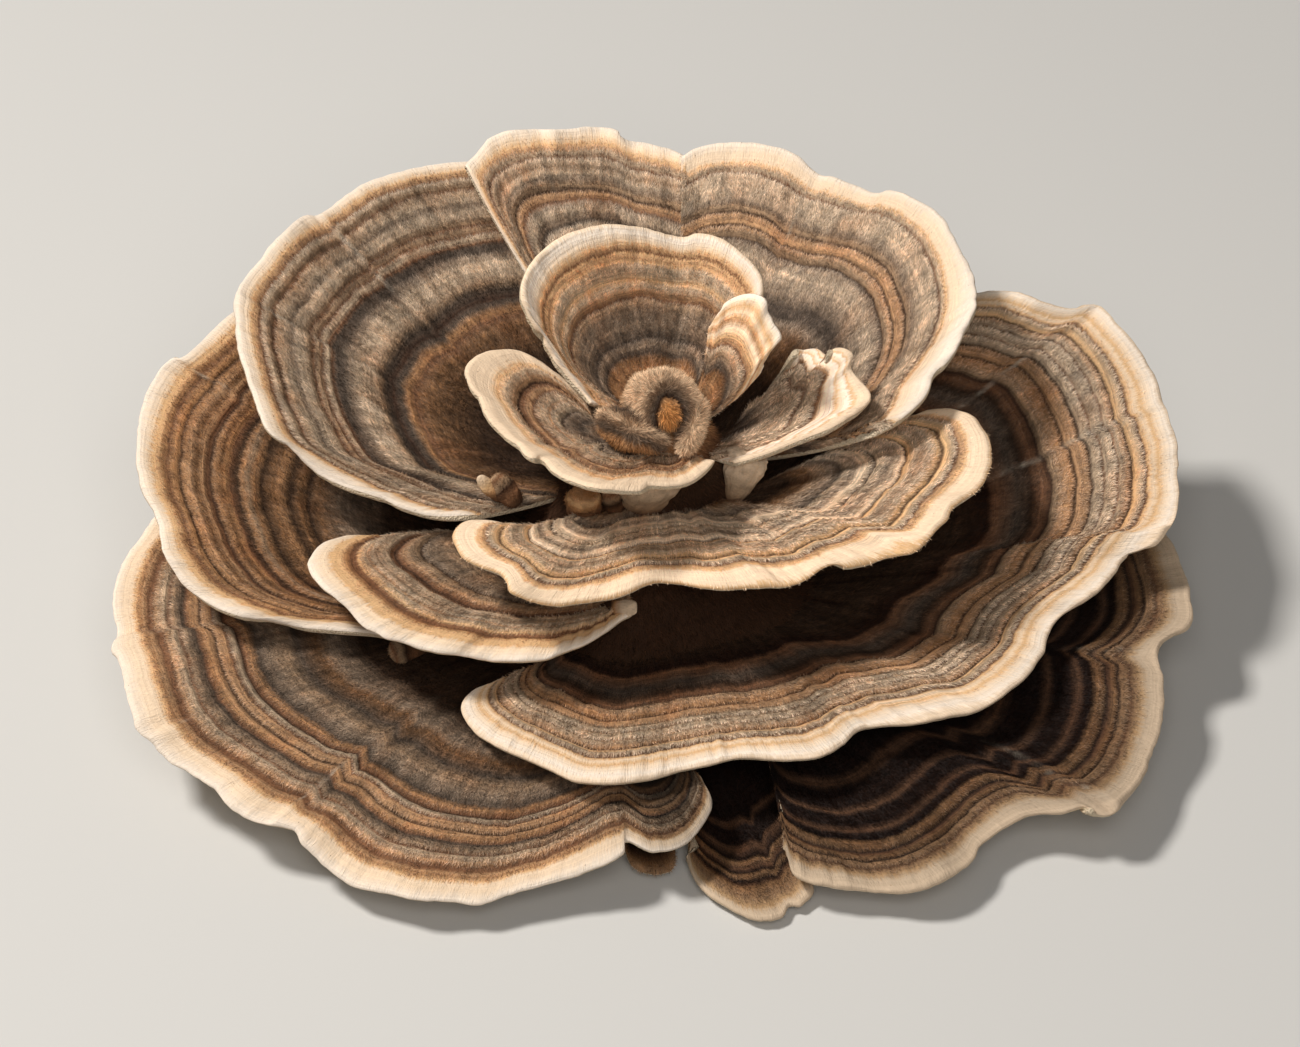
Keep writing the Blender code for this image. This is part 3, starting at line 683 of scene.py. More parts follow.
            0: CREAM, 0.8: CREAM, 1.6: HONEY, 2.8: TAN, 4.2: AMBER, 4.8: RUST, 5.3: UMBER, 6: AMBER,
            6.6: UMBER, 7.4: RUST, 8.2: AMBER, 8.8: UMBER, 10.6: RUST, 11.3: UMBER, 13.5: UMBER, 14.5: RUST,
            15.4: UMBER, 22: UMBER,
        },
        flow={0: 0, 0.3: 0.4, 0.5: 0, 0.7: 0.5, 0.76: -0.5, 0.8: 0.6, 1: 0},
    ),
    Cap(
        name="hidden_cap",
        bearings=(-104, -94),
        heights=(3.0, 3.0, 3.0),
        rises=(-1.5, -1.5, -1.5),
        rim=((624, 845), (633, 863), (654, 871), (672, 866), (676, 848)),
        waves=(1.0, 0.1),
        thickness=1.6,
        # Its tone paints the shade of the caps over it.
        tone=0.3,
        bands={0: TAN, 1: AMBER, 2: RUST, 3.2: DARK, 5: RUST, 7: DARK, 12: PEAT, 18: PEAT},
        flow={0: 0},
    ),
)  # fmt: skip

# Bands down from the holdfast's top. The darkest, at middle heights under the caps, are partly its own dark
# brown and partly painted shade of the caps.
HOLDFAST_BANDS = {
    0: MOSS, 1.5: AMBER, 3.5: RUST, 6: PEAT, 9: DARK, 24: DARK, 30: PEAT, 35.5: RUST, 37.5: TAN, 38.5: CREAM,
}  # fmt: skip


@dataclass(frozen=True)
class Lobe:
    """A soft lobe of the bud. Its middle is right, up and forward of the bud's, as the camera sees it."""

    name: str
    middle: tuple
    half_sizes: tuple  # along it, across it and towards the camera
    turn: float  # degrees anticlockwise from level
    from_eye: bool  # whether its bands lie round the bud's eye, or else across the lobe
    bands: dict


BUD_MIDDLE = np.array((0.6, 1.6, 42.6))
BUD_EYE = (1.7, -2.5)  # the orange hollow, right and up of the bud's middle
EYE_HALF_SIZES = (1.25, 1.75)
EYE_HOLLOW = (1.5, 1.5)  # depth, and size in eyes
EYE_SWELL = (0.9, 0.8)  # height of the orange middle, and its size
BUD_SLIT = (1.95, -4.2, 0.22)  # right and up of its top, and half width
# painted shade in the bud's slit
SLIT_PAINTED_SHADE = 0.6
LOBE_FRONT = 0.5  # how far behind a lobe's middle the hollow and the slit begin
LOBE_LUMPS = ((0.07, 3, 5, 5), (0.04, 8, 5, 0))  # height, number in a half size, start right and up
LOBE_BANDS_MIDDLE = 1.5
LOBE_HAIRS_END = (2.6, 0.4)  # radians from its front, and over how many they thin out
# Round the orange middle lies a dark ring: partly the hairs' own dark bases, partly painted shade in the
# hollow.
EYE_BANDS = {
    0: EMBER, 0.7: EMBER, 1: AMBER, 1.2: DARK, 1.5: SLATE, 2: ASH, 2.6: STRAW, 3.8: STRAW, 4.6: MOSS, 6: PEAT,
}  # fmt: skip
LOBE_BANDS = {0: MOSS, 0.5: AMBER, 1: SLATE, 1.5: ASH, 2: STRAW, 2.4: ASH, 2.7: SLATE, 3: PEAT}
LOBES = (
    Lobe("centre_bud", (0.9, -0.7, 0.2), (4.2, 3.7, 3.4), 0.0, True, EYE_BANDS),
    Lobe("bud_side", (4.5, -3.8, 0.2), (3.4, 1.4, 1.8), 72.0, True, EYE_BANDS),
    Lobe("bud_front", (-2.9, -4.4, 0.6), (4.3, 2.1, 2.0), -22.0, False, LOBE_BANDS),
)


@dataclass(frozen=True)
class Nub:
    """A cap that has only begun to grow, or a neck under a cap: a small body from its foot to its tip."""

    name: str
    foot: tuple
    tip: tuple
    width: float
    thickness: float
    blunt: float  # 0 for a flat end, 1 for a round one
    flare: float  # how much narrower it is at its foot
    fuzz: float  # hairs per square mm
    bands: dict


PETAL = {0: CREAM, 1.6: HONEY, 2.6: AMBER, 3.4: RUST, 4.6: PEAT}
KNOB = {0: AMBER, 0.15: TAN, 0.5: HONEY, 1.3: AMBER, 2.6: RUST, 4: DARK, 5.5: PEAT}
FLAP = {0: CREAM, 1.8: CREAM, 2.8: AMBER, 3.4: DARK, 5: PEAT}
FOLD = {0: FAWN, 0.5: RUST, 1.2: FAWN, 2: DARK, 3.2: RUST, 5: PEAT}
NECK = {0: CREAM, 2: CREAM, 4: SAND, 6: FAWN, 7.5: RUST, 10: PEAT}
NUBS = (
    Nub("petal_on_back_left", (-18.2, -1.8, 27.8), (-21.2, -1.0, 31.2), 1.9, 1.3, 0.8, 0.0, 0.0, PETAL),
    Nub("fold_on_back_left", (-16.2, -2.2, 27.4), (-19.4, -0.6, 30.8), 3.4, 1.5, 0.6, 0.2, 40.0, FOLD),
    Nub("knob_on_front", (-8.0, -5.0, 27.6), (-8.2, -5.6, 33.0), 4.7, 3.8, 0.3, 0.1, 25.0, KNOB),
    Nub("fold_on_front", (-4.2, -4.6, 27.8), (-5.0, -4.8, 32.8), 2.9, 2.2, 0.5, 0.2, 40.0, FOLD),
    Nub("fold_under_front_left", (-27.0, -10.5, 12.2), (-32.4, -13.4, 12.4), 3.8, 1.3, 0.7, 0.2, 20.0, FOLD),
    Nub("flap_on_front_left", (-6.2, -12.9, 20.1), (-1.6, -13.9, 21.3), 2.4, 0.8, 0.45, 0.3, 0.0, FLAP),
    Nub("neck_of_inner_front", (-0.6, -3.9, 27.6), (-0.6, -3.9, 36.0), 11.5, 6.0, 0.25, 0.55, 0.0, NECK),
    Nub("neck_of_inner_side", (10.2, -1.8, 27.4), (12.2, -0.6, 34.7), 7.2, 3.6, 0.25, 0.7, 0.0, NECK),
)

NUB_FACING = (0.0, -0.7, 0.7)  # the way that their flat sides face
NUB_LUMPS = ((0.12, 1.5, 5, 2), (0.06, 4, 9, 5))  # height, number around, start, number along
NECK_PLEATS = (0.07, 13)  # height and number
FLARE_POWER = 0.7
NUB_HAIRS_END = 3.0  # how close to its ends a nub has hairs

# The stage, in metres and watts.
FLOOR_HALF_SIZE = 2.0
FLOOR_GREY = paint(206, 204, 200)
STUDIO_WHITE = (1.0, 0.98, 0.96)
STUDIO_STRENGTH = 0.1
LAMPS = (
    # name, place, size, power, colour
    ("key", (-0.42, 0.04, 0.72), 0.13, 6.4, (1.0, 0.97, 0.93)),
    ("fill", (0.05, -0.5, 0.62), 0.4, 1.8, (1.0, 0.98, 0.96)),
)


# Curves and the cap's sheet.


def clamp(values):
    return np.clip(values, 0.0, 1.0)


def bell(values):
    """1 where the values are 0, and less on both sides."""
    return np.exp(-(values**2))


def unit(vectors):
    return vectors / np.maximum(np.linalg.norm(vectors, axis=-1, keepdims=True), 1e-9)


def spline(values, at):
    """A Catmull-Rom curve through evenly spaced values, read at places from 0 to 1."""
    values = np.array(values, float)
    padded = np.concatenate(([2 * values[0] - values[1]], values, [2 * values[-1] - values[-2]]))
    spot = clamp(at) * (len(values) - 1)
    first = np.minimum(spot.astype(int), len(values) - 2)
    t = (spot - first).reshape(-1, *([1] * (values.ndim - 1)))
    p0, p1, p2, p3 = (padded[first + step] for step in range(4))
    bend = (2 * p0 - 5 * p1 + 4 * p2 - p3) * t**2 + (3 * p1 - p0 - 3 * p2 + p3) * t**3
    return 0.5 * (2 * p1 + (p2 - p0) * t + bend)


def travel(points):
    """How far along the line through these points each one is."""
    return np.concatenate(([0.0], np.cumsum(np.linalg.norm(np.diff(points, axis=0), axis=1))))


def along_curve(points, shares):
    """Points at these shares of the length of the curve through the given ones."""
    fine = spline(points, np.linspace(0.0, 1.0, CURVE_STEPS * len(points)))
    travelled = travel(fine)
    return np.stack([np.interp(shares * travelled[-1], travelled, axis) for axis in fine.T], 1)


def along_bands(depth, bands, quality):
    """What the zones of these bands say about one of their qualities at each depth."""
    return np.interp(depth, list(bands), [getattr(zone, quality) for zone in bands.values()])


def level_outline(level, bearing, growth):
    """Places round the holdfast at one level, moved outwards by growth."""
    height, middle_x, middle_y, half_width, half_depth = level.T
    out = growth
    for number, twist, start, share in HOLDFAST_WAVES:
        out = out + HOLDFAST_LUMP * share * np.sin(number * bearing + twist * height + start)
    x = middle_x + (half_width + out) * np.cos(bearing)
    y = middle_y + (half_depth + out) * np.sin(bearing)
    return np.stack([x, y, np.broadcast_to(height, x.shape)], -1)


def holdfast_point(bearing, height, growth=0.0):
    """The place on the holdfast's side at a bearing in radians, moved outwards by growth."""
    spot = np.interp(height, HOLDFAST_LEVELS[:, 0], np.arange(len(HOLDFAST_LEVELS)))
    lower = np.minimum(spot.astype(int), len(HOLDFAST_LEVELS) - 2)
    share = (spot - lower)[..., None]
    below, above = (level_outline(HOLDFAST_LEVELS[lower + step], bearing, growth) for step in (0, 1))
    return below * (1 - share) + above * share


def rim_lift(cap, along):
    """How far waves and folds raise the rim above the cap's plain slope."""
    number, height = cap.waves
    lift = np.zeros_like(along)
    for times, start, share in RIM_WAVES:
        lift += height * share * np.sin(2 * np.pi * number * times * along + start)
    for place, fold_height, half_width in cap.folds:
        lift += fold_height * bell((along - place) / half_width)
    return lift * np.sqrt(4 * along * (1 - along))


def rim_line(cap, roots, along):
    """The rim, where each pixel's sight line comes down to the cap's height."""
    pixels = along_curve(cap.rim, along)
    across, up = ((pixels - PHOTO_CENTRE) / PIXELS_PER_MM * (1, -1)).T
    sight = VIEW_DISTANCE * FORWARD + across[:, None] * PICTURE_RIGHT + up[:, None] * PICTURE_UP
    slope = np.tan(np.radians(spline(cap.rises, along)))
    lift = rim_lift(cap, along)
    near, far = ((roots[:, 2] + step - EYE[2]) / sight[:, 2] for step in (MOST_RISE, -MOST_RISE))
    for _ in range(SIGHT_HALVINGS):
        middle = (near + far) / 2
        place = EYE + middle[:, None] * sight
        reach = np.linalg.norm(place[:, :2] - roots[:, :2], axis=1)
        above = place[:, 2] > roots[:, 2] + slope * reach + lift
        near = np.where(above, middle, near)
        far = np.where(above, far, middle)
    return EYE + near[:, None] * sight


def root_and_rim(cap, along):
    """Both lines, with the root's bearings drawn towards the rim's, so that the sheet fans out."""
    first, last = np.radians(cap.bearings)
    middle = (first + last) / 2
    even = first + (last - first) * along
    bearing = even
    for _ in range(FAN_PASSES):
        roots = holdfast_point(bearing, spline(cap.heights, along), GAP)
        rims = rim_line(cap, roots, along)
        own = np.arctan2(rims[:, 1] - FAN_MIDDLE_Y, rims[:, 0]) - middle
        own = middle + (own + np.pi) % (2 * np.pi) - np.pi
        own = np.maximum.accumulate(np.clip(own, first, last))
        bearing = FAN_SHARE * own + (1 - FAN_SHARE) * even
    return roots, rims, bearing


class Drift:
    """Smooth noise over a plane, from -1 to 1, the same on every run."""

    SIZE = 64  # cells before it repeats

    def __init__(self, seed):
        self.table = np.random.default_rng(seed).uniform(-1.0, 1.0, (self.SIZE, self.SIZE))

    def at(self, column, row):
        return self.table[column % self.SIZE, row % self.SIZE]

    def __call__(self, x, y):
        x, y = np.broadcast_arrays(x, y)
        left, low = np.floor(x).astype(int), np.floor(y).astype(int)
        a, b = (part * part * (3 - 2 * part) for part in (x - left, y - low))
        near, far = (self.at(left + i, low) * (1 - b) + self.at(left + i, low + 1) * b for i in (0, 1))
        return near * (1 - a) + far * a


def gentle_steps(length):
    """Shares from 0 to 1, even in the middle and crowded at the end, where the sheet's edge is round."""
    angle = np.linspace(np.pi / 2, 0.0, ROUND_STEPS + 1)
    edge = 1 - (ROUND / length) * (1 - np.cos(angle))
    middle = np.linspace(0.0, edge[0], max(FEWEST_STEPS, round((length - ROUND) / CELL)))
    return np.concatenate([middle[:-1], edge])


def both_ends(length):
    """The same, crowded at both ends."""
    half = gentle_steps(length / 2) / 2
    return np.concatenate([0.5 - half[::-1], 0.5 + half[1:]])


def edge_share(distance):
    """How thick the sheet is near an edge, as a share: a quarter circle."""
    return np.sqrt(clamp(1 - (1 - clamp(distance / ROUND)) ** 2))


def evened(line, travelled):
    """The line with its small bends evened out and its ends where they were."""
    spots = np.concatenate([-travelled[:0:-1], travelled, 2 * travelled[-1] - travelled[-2::-1]])
    mirrored = np.concatenate([2 * line[0] - line[:0:-1], line, 2 * line[-1] - line[-2::-1]])
    weights = bell(EVEN_STEPS)
    shifted = [travelled + step * SOFT_RIM for step in EVEN_STEPS]
    near = [[np.interp(places, spots, axis) for axis in mirrored.T] for places in shifted]
    return np.einsum("s,sap->pa", weights / weights.sum(), np.array(near))


@dataclass
class Sheet:
    """One cap's middle sheet. Its rows run from root to rim, and its columns lie along the rim."""

    places: np.ndarray
    out: np.ndarray  # each row's share of the way out
    length: np.ndarray  # of each column
    inset: np.ndarray  # how far each column's rim lies inside the even line through the rim's small bends
    share: np.ndarray  # where each column is along the rim
    across: np.ndarray  # the same in mm, at each place
    radial: np.ndarray  # mm from the rim, at each place
    drift: Drift
    ripple: Drift

    def __post_init__(self):
        self.reach = self.length / self.length.max()
        self.rim_length = self.across[0, -1]
        self.width = ROOT_WIDTH + (1 - ROOT_WIDTH) * self.out
        self.edges = (self.share, 1 - self.share)
        self.side_gaps = [edge * self.rim_length * self.width for edge in self.edges]
        self.inner = np.tanh(self.radial / MARGIN)


def cap_sheet(cap, number):
    """The sheet that the solid has too, here with a toothed rim and a root inside the holdfast."""
    rim_length = travel(root_and_rim(cap, np.linspace(0.0, 1.0, ROUGH_STEPS))[1])[-1]
    along = both_ends(rim_length)
    _, rims, bearing = root_and_rim(cap, along)
    soft_rims = evened(rims, travel(rims))
    bearing = evened(bearing[:, None], travel(rims))[:, 0]
    roots = holdfast_point(bearing, spline(cap.heights, along), GAP)
    way = soft_rims - roots
    length = np.linalg.norm(way, axis=1)
    out = gentle_steps(length.max())[:, None]
    bulge = 4 * out * (1 - out)
    inwards = (1 - out[:, :, None]) ** EMBED_POWER
    start = roots + (holdfast_point(bearing, roots[:, 2], EMBED) - roots) * inwards
    near_rim = out ** np.maximum(length / RIM_BLEND, LEAST_BLEND_POWER)
    places = start + way * out[:, :, None] + (rims - soft_rims) * near_rim[:, :, None]
    places[:, :, 2] -= cap.dish * (length / length.max()) * bulge
    clockwise = np.stack([way[:, 1], -way[:, 0]], 1) / np.linalg.norm(way[:, :2], axis=1)[:, None]
    bend = -cap.bow * clamp(1 - along / SIDE_SHARE) ** 2 * bulge
    for join, edge, way_on in zip(cap.joins, (along, 1 - along), (1, -1)):
        if join:
            near_side = clamp(1 - edge * rim_length / JOIN_REACH) ** 2
            bend = bend + way_on * near_side * (join[0] + (join[1] - join[0]) * out)
    places[:, :, :2] += bend[:, :, None] * clockwise

    share = travel(rims) / travel(rims)[-1]
    across = np.broadcast_to(share * travel(rims)[-1], places.shape[:2])
    strides = np.linalg.norm(np.diff(places, axis=0), axis=2)
    radial = np.concatenate([strides[::-1].cumsum(0)[::-1], np.zeros((1, len(along)))])
    drift, ripple = Drift(number), Drift(number + RIPPLE_SEED)
    teeth = TEETH[0].at(ripple, across, TEETH_AWAY) + TEETH[1].at(drift, across, TEETH_AWAY)
    teeth = teeth * out**TEETH_POWER * length / length.max()
    places[:, :, :2] += teeth[:, :, None] * unit(way[:, :2])
    inset = ((soft_rims - rims) * unit(way)).sum(1)
    return Sheet(places, out, length, inset, share, across, radial, drift, ripple)


def zone_depth(cap, sheet):
    """How deep each place lies in the cap's bands."""
    depth = sheet.radial + sheet.inset * np.tanh(sheet.radial / INLET_REACH)
    depth = depth / np.maximum(sheet.reach, SHORTEST_REACH) ** SQUEEZE
    depth = depth - sheet.inner * np.interp(sheet.share, list(cap.flow), list(cap.flow.values()))
    for (deep, reach), edge in zip(cap.cuts, sheet.edges):
        depth = depth + deep * clamp(1 - edge / reach)
    bends = ZONE_BENDS.at(sheet.drift, sheet.across, depth)
    depth = depth + sheet.inner * (bends + ZONE_WIGGLES.at(sheet.ripple, sheet.across, depth))
    depth = np.maximum(depth, 0.0)
    for gap, follow in zip(sheet.side_gaps, cap.borders):
        if follow:
            depth = depth * follow * gap / np.maximum(np.hypot(depth, follow * gap), 1e-6)
    return depth


def skin_relief(cap, sheet, depth):
    """How far the skin stands out: the zones' ridges, soft swells and a pleated margin."""
    across, radial, drift, ripple = sheet.across, sheet.radial, sheet.drift, sheet.ripple
    relief = along_bands(depth, cap.bands, "height")
    swell = SWELLS.at(drift, across, radial) + DIMPLES.at(ripple, across, radial)
    middle, spread = PLEAT_PLACE
    pleated = clamp(PLEATED.at(drift, across, PLEATED_AWAY) + PLEATED_RISE)
    pleat = bell((radial - middle) / spread) * pleated
    return relief + sheet.inner * swell + PLEAT_HEIGHT * pleat * PLEATS.at(ripple, across, radial)


def creased(cap, sheet, relief):
    """The relief with the cap's creases, and how much of a pale ridge shows at each place."""
    ridge = np.zeros_like(relief)
    for place, step, reach in cap.creases:
        place = place + CREASE_WANDER.at(sheet.drift, sheet.radial, CREASE_AWAY)
        x = (sheet.across - place * sheet.rim_length) * sheet.width
        fade = clamp((reach - sheet.radial) / CREASE_FADE)
        relief = relief + step * fade * np.tanh(x / CREASE_EDGE) * np.exp(-np.abs(x) / CREASE_SLOPE)
        relief = relief + LIP_HEIGHT * abs(step) * fade * bell(x / LIP_WIDTH)
        usual, least, most = RIDGE_SHOWN
        shown = np.clip(usual + RIDGE_GAPS.at(sheet.ripple, sheet.radial, RIDGE_GAPS_AWAY), least, most)
        shown = min(1.0, RIDGE_SHARE * abs(step)) * fade * sheet.inner * shown
        ridge = np.maximum(ridge, shown * bell(x / RIDGE_WIDTH))
    return relief, ridge


def colour_shade(cap, number, sheet, amount):
    """How bright the colours are: the cap's own tone with its painted light and shade, tufts of hair and any
    painted shadow.
    """
    tuft = TUFTS.at(Drift(number + TUFT_SEED), sheet.across, sheet.radial)
    tuft = tuft + BIG_TUFTS.at(Drift(number + BIG_TUFT_SEED), sheet.across, sheet.radial)
    tone = 1 + (cap.tone - 1) * (MARGIN_PAINTED_LIGHT_SHARE + (1 - MARGIN_PAINTED_LIGHT_SHARE) * sheet.inner)
    shade = tone * (1 + TUFT_SHADE * amount * tuft)
    for place, half_width, left in cap.painted_shadow:
        near = bell((sheet.share - place) / half_width)
        shade = shade * (1 + (left - 1) * (MARGIN_PAINTED_SHADOW + (1 - MARGIN_PAINTED_SHADOW) * sheet.inner) * near)
    return shade


@dataclass
class Surface:
    """A skin as rows of places, and the numbers that its finish and its hairs read there."""

    places: np.ndarray
    normals: np.ndarray
    outwards: np.ndarray
    onwards: np.ndarray
    numbers: dict


def make_surface(cap, number):
    """The upper skin of one cap, and the places of its underside."""
    sheet = cap_sheet(cap, number)
    depth = zone_depth(cap, sheet)
    relief, ridge = creased(cap, sheet, skin_relief(cap, sheet, depth))
    edge = edge_share((1 - sheet.out) * sheet.length)
    for gap, join in zip(sheet.side_gaps, cap.joins):
        if join is None:
            edge = edge * edge_share(gap)
    edge = edge[:, :, None]
    outer = sheet.out[:, :, None]
    half = (RIM_THICKNESS * outer + (cap.thickness * np.sqrt(sheet.reach))[:, None] * (1 - outer)) / 2
    normals = unit(np.cross(np.gradient(sheet.places, axis=0), np.gradient(sheet.places, axis=1)))
    upwards = normals * outer + UPRIGHT * (1 - outer)
    middle = sheet.places - upwards * half
    upper = middle + (half - PILE + relief[:, :, None]) * edge * upwards
    lower = middle - half * edge * upwards
    outwards, onwards = (unit(np.gradient(upper, axis=axis)) for axis in (0, 1))
    amount = along_bands(depth, cap.bands, "hair")
    numbers = {
        "depth": depth,
        "radial": sheet.radial,
        "across": sheet.across,
        "ridge": ridge,
        "shade": colour_shade(cap, number, sheet, amount),
        "amount": amount,
    }
    return Surface(upper, unit(np.cross(outwards, onwards)), outwards, onwards, numbers), lower


# Meshes.


def finished(name, mesh, finish):
    """The piece as an object at the origin that moves with the fungus."""
    mesh.shade_smooth()
    mesh.materials.append(finish)
    piece = bpy.data.objects.new(name, mesh)
    bpy.context.scene.collection.objects.link(piece)
    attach(piece, "root")
    return piece


def sheet_mesh(name, rows, numbers, weld):
    """A closed mesh from rows of places, with its open edges welded and filled."""
    bm = bmesh.new()
    bm.loops.layers.uv.new("OFBake")
    for key in numbers:
        bm.verts.layers.float.new(key)
    steps = {"x_segments": rows.shape[1] - 1, "y_segments": rows.shape[0] - 1}
    grid = bmesh.ops.create_grid(bm, size=1.0, calc_uvs=True, **steps)["verts"]
    for vert, place in zip(grid, rows.reshape(-1, 3)):
        vert.co = place * MM
    for key, values in numbers.items():
        layer = bm.verts.layers.float[key]
        for vert, value in zip(grid, values.ravel()):
            vert[layer] = value
    edges = [vert for vert in grid if vert.is_boundary]
    bmesh.ops.remove_doubles(bm, verts=edges, dist=weld)
    bmesh.ops.holes_fill(bm, edges=[edge for edge in bm.edges if edge.is_boundary], sides=0)
    bmesh.ops.recalc_face_normals(bm, faces=bm.faces)
    mesh = bpy.data.meshes.new(name)
    bm.to_mesh(mesh)
    bm.free()
    return mesh


def flesh(cap, surface, lower, finish):
    """The cap's body: one grid from the root over the rim and back under, closed along its sides and root."""
    count = len(surface.places)
    back = slice(count - 2, None, -UNDER_STEP)
    rows = np.concatenate([surface.places, lower[back]])
    numbers = {key: np.concatenate([values, values[back]]) for key, values in surface.numbers.items()}
    numbers["under"] = np.concatenate([np.zeros(surface.places.shape[:2]), np.ones(lower[back].shape[:2])])
    numbers["under"][count - 1] = 0.5
    mesh = sheet_mesh(cap.name, rows, numbers, EDGE_WELD)
    piece = finished(f"{cap.name}_flesh", mesh, finish)
    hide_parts(cap.name)


def blend_cell(values, row, column, a, b):
    """Values at places inside the cells of a grid."""
    if values.ndim == 3:
        a, b = a[:, None], b[:, None]
    low = values[row, column] * (1 - b) + values[row, column + 1] * b
    high = values[row + 1, column] * (1 - b) + values[row + 1, column + 1] * b
    return low * (1 - a) + high * a


def hair_mesh(name, base, tip, side, numbers):
    """One thin triangle for each hair, with one number on each vertex for each name."""
    count = len(base)
    corners = np.stack([base - side, base + side, tip], 1).reshape(-1, 3) * MM
    mesh = bpy.data.meshes.new(name)
    mesh.vertices.add(3 * count)
    mesh.vertices.foreach_set("co", corners.astype(np.float32).ravel())
    mesh.loops.add(3 * count)
    mesh.loops.foreach_set("vertex_index", np.arange(3 * count, dtype=np.int32))
    mesh.polygons.add(count)
    mesh.polygons.foreach_set("loop_start", np.arange(0, 3 * count, 3, dtype=np.int32))
    mesh.update()
    corner_numbers = {key: np.repeat(values, 3) for key, values in numbers.items()}
    corner_numbers["tip"] = np.tile((0.0, 0.0, 1.0), count)
    for key, values in corner_numbers.items():
        layer = mesh.attributes.new(key, "FLOAT", "POINT")
        layer.data.foreach_set("value", values.astype(np.float32))
    return mesh


def fur(name, surface, seed, finish, coat):
    """Short hairs that lean outwards, thick on the pale zones and few on the dark lines."""
    rng = np.random.default_rng(seed)
    places = surface.places
    step_out, step_on = places[1:, :-1] - places[:-1, :-1], places[:-1, 1:] - places[:-1, :-1]
    area = np.linalg.norm(np.cross(step_out, step_on), axis=2)
    weight = (area * surface.numbers["amount"][:-1, :-1]).ravel()
    count = min(MOST_HAIRS, int(coat.density * weight.sum()))
    chosen = np.searchsorted(np.cumsum(weight), rng.uniform(0.0, weight.sum(), count))
    row, column = np.unravel_index(np.minimum(chosen, weight.size - 1), area.shape)
    a, b = rng.random(count), rng.random(count)
    fields = (places, surface.normals, surface.outwards, surface.onwards)
    base, normal, outward, onward = (blend_cell(values, row, column, a, b) for values in fields)
    numbers = {key: blend_cell(values, row, column, a, b) for key, values in surface.numbers.items()}
    tuft = LEANING_TUFTS.at(Drift(seed + TUFT_SEED), numbers["across"], numbers["radial"])
    yaw = TUFT_YAW * tuft + rng.normal(0.0, HAIR_YAW, count)
    lean = np.radians(rng.uniform(*coat.leans, count) + TUFT_LEAN * tuft)
    size = rng.uniform(*coat.lengths, count) * (THIN_LENGTH + (1 - THIN_LENGTH) * numbers["amount"])
    flat = outward * np.cos(yaw)[:, None] + onward * np.sin(yaw)[:, None]
    tip = base + size[:, None] * (flat * np.cos(lean)[:, None] + normal * np.sin(lean)[:, None])
    side = unit(np.cross(tip - base, normal)) * HAIR_WIDTH / 2
    numbers["shade"] = numbers["shade"] * np.exp(np.minimum(rng.normal(0.0, HAIR_SHADES, count), PALEST_HAIR))
    return finished(name, hair_mesh(name, base - HAIR_ROOT * normal, tip, side, numbers), finish)


# Finishes.


class Value:
    """A shader socket that Python's operators work on."""

    def __init__(self, finish, socket):
        self.finish = finish
        self.socket = socket

    def maths(self, operation, *values):
        return self.finish.node("ShaderNodeMath", {"operation": operation}, dict(enumerate(values)))

    def __add__(self, other):
        return self.maths("ADD", self, other)

    def __sub__(self, other):
        return self.maths("SUBTRACT", self, other)

    def __rsub__(self, other):
        return self.maths("SUBTRACT", other, self)

    def __mul__(self, other):
        return self.maths("MULTIPLY", self, other)

    def __truediv__(self, other):
        return self.maths("DIVIDE", self, other)

    __radd__ = __add__
    __rmul__ = __mul__


MIX_SHARE, MIX_FIRST, MIX_SECOND, MIX_RESULT = 0, 6, 7, 2  # a mix node's sockets for colours


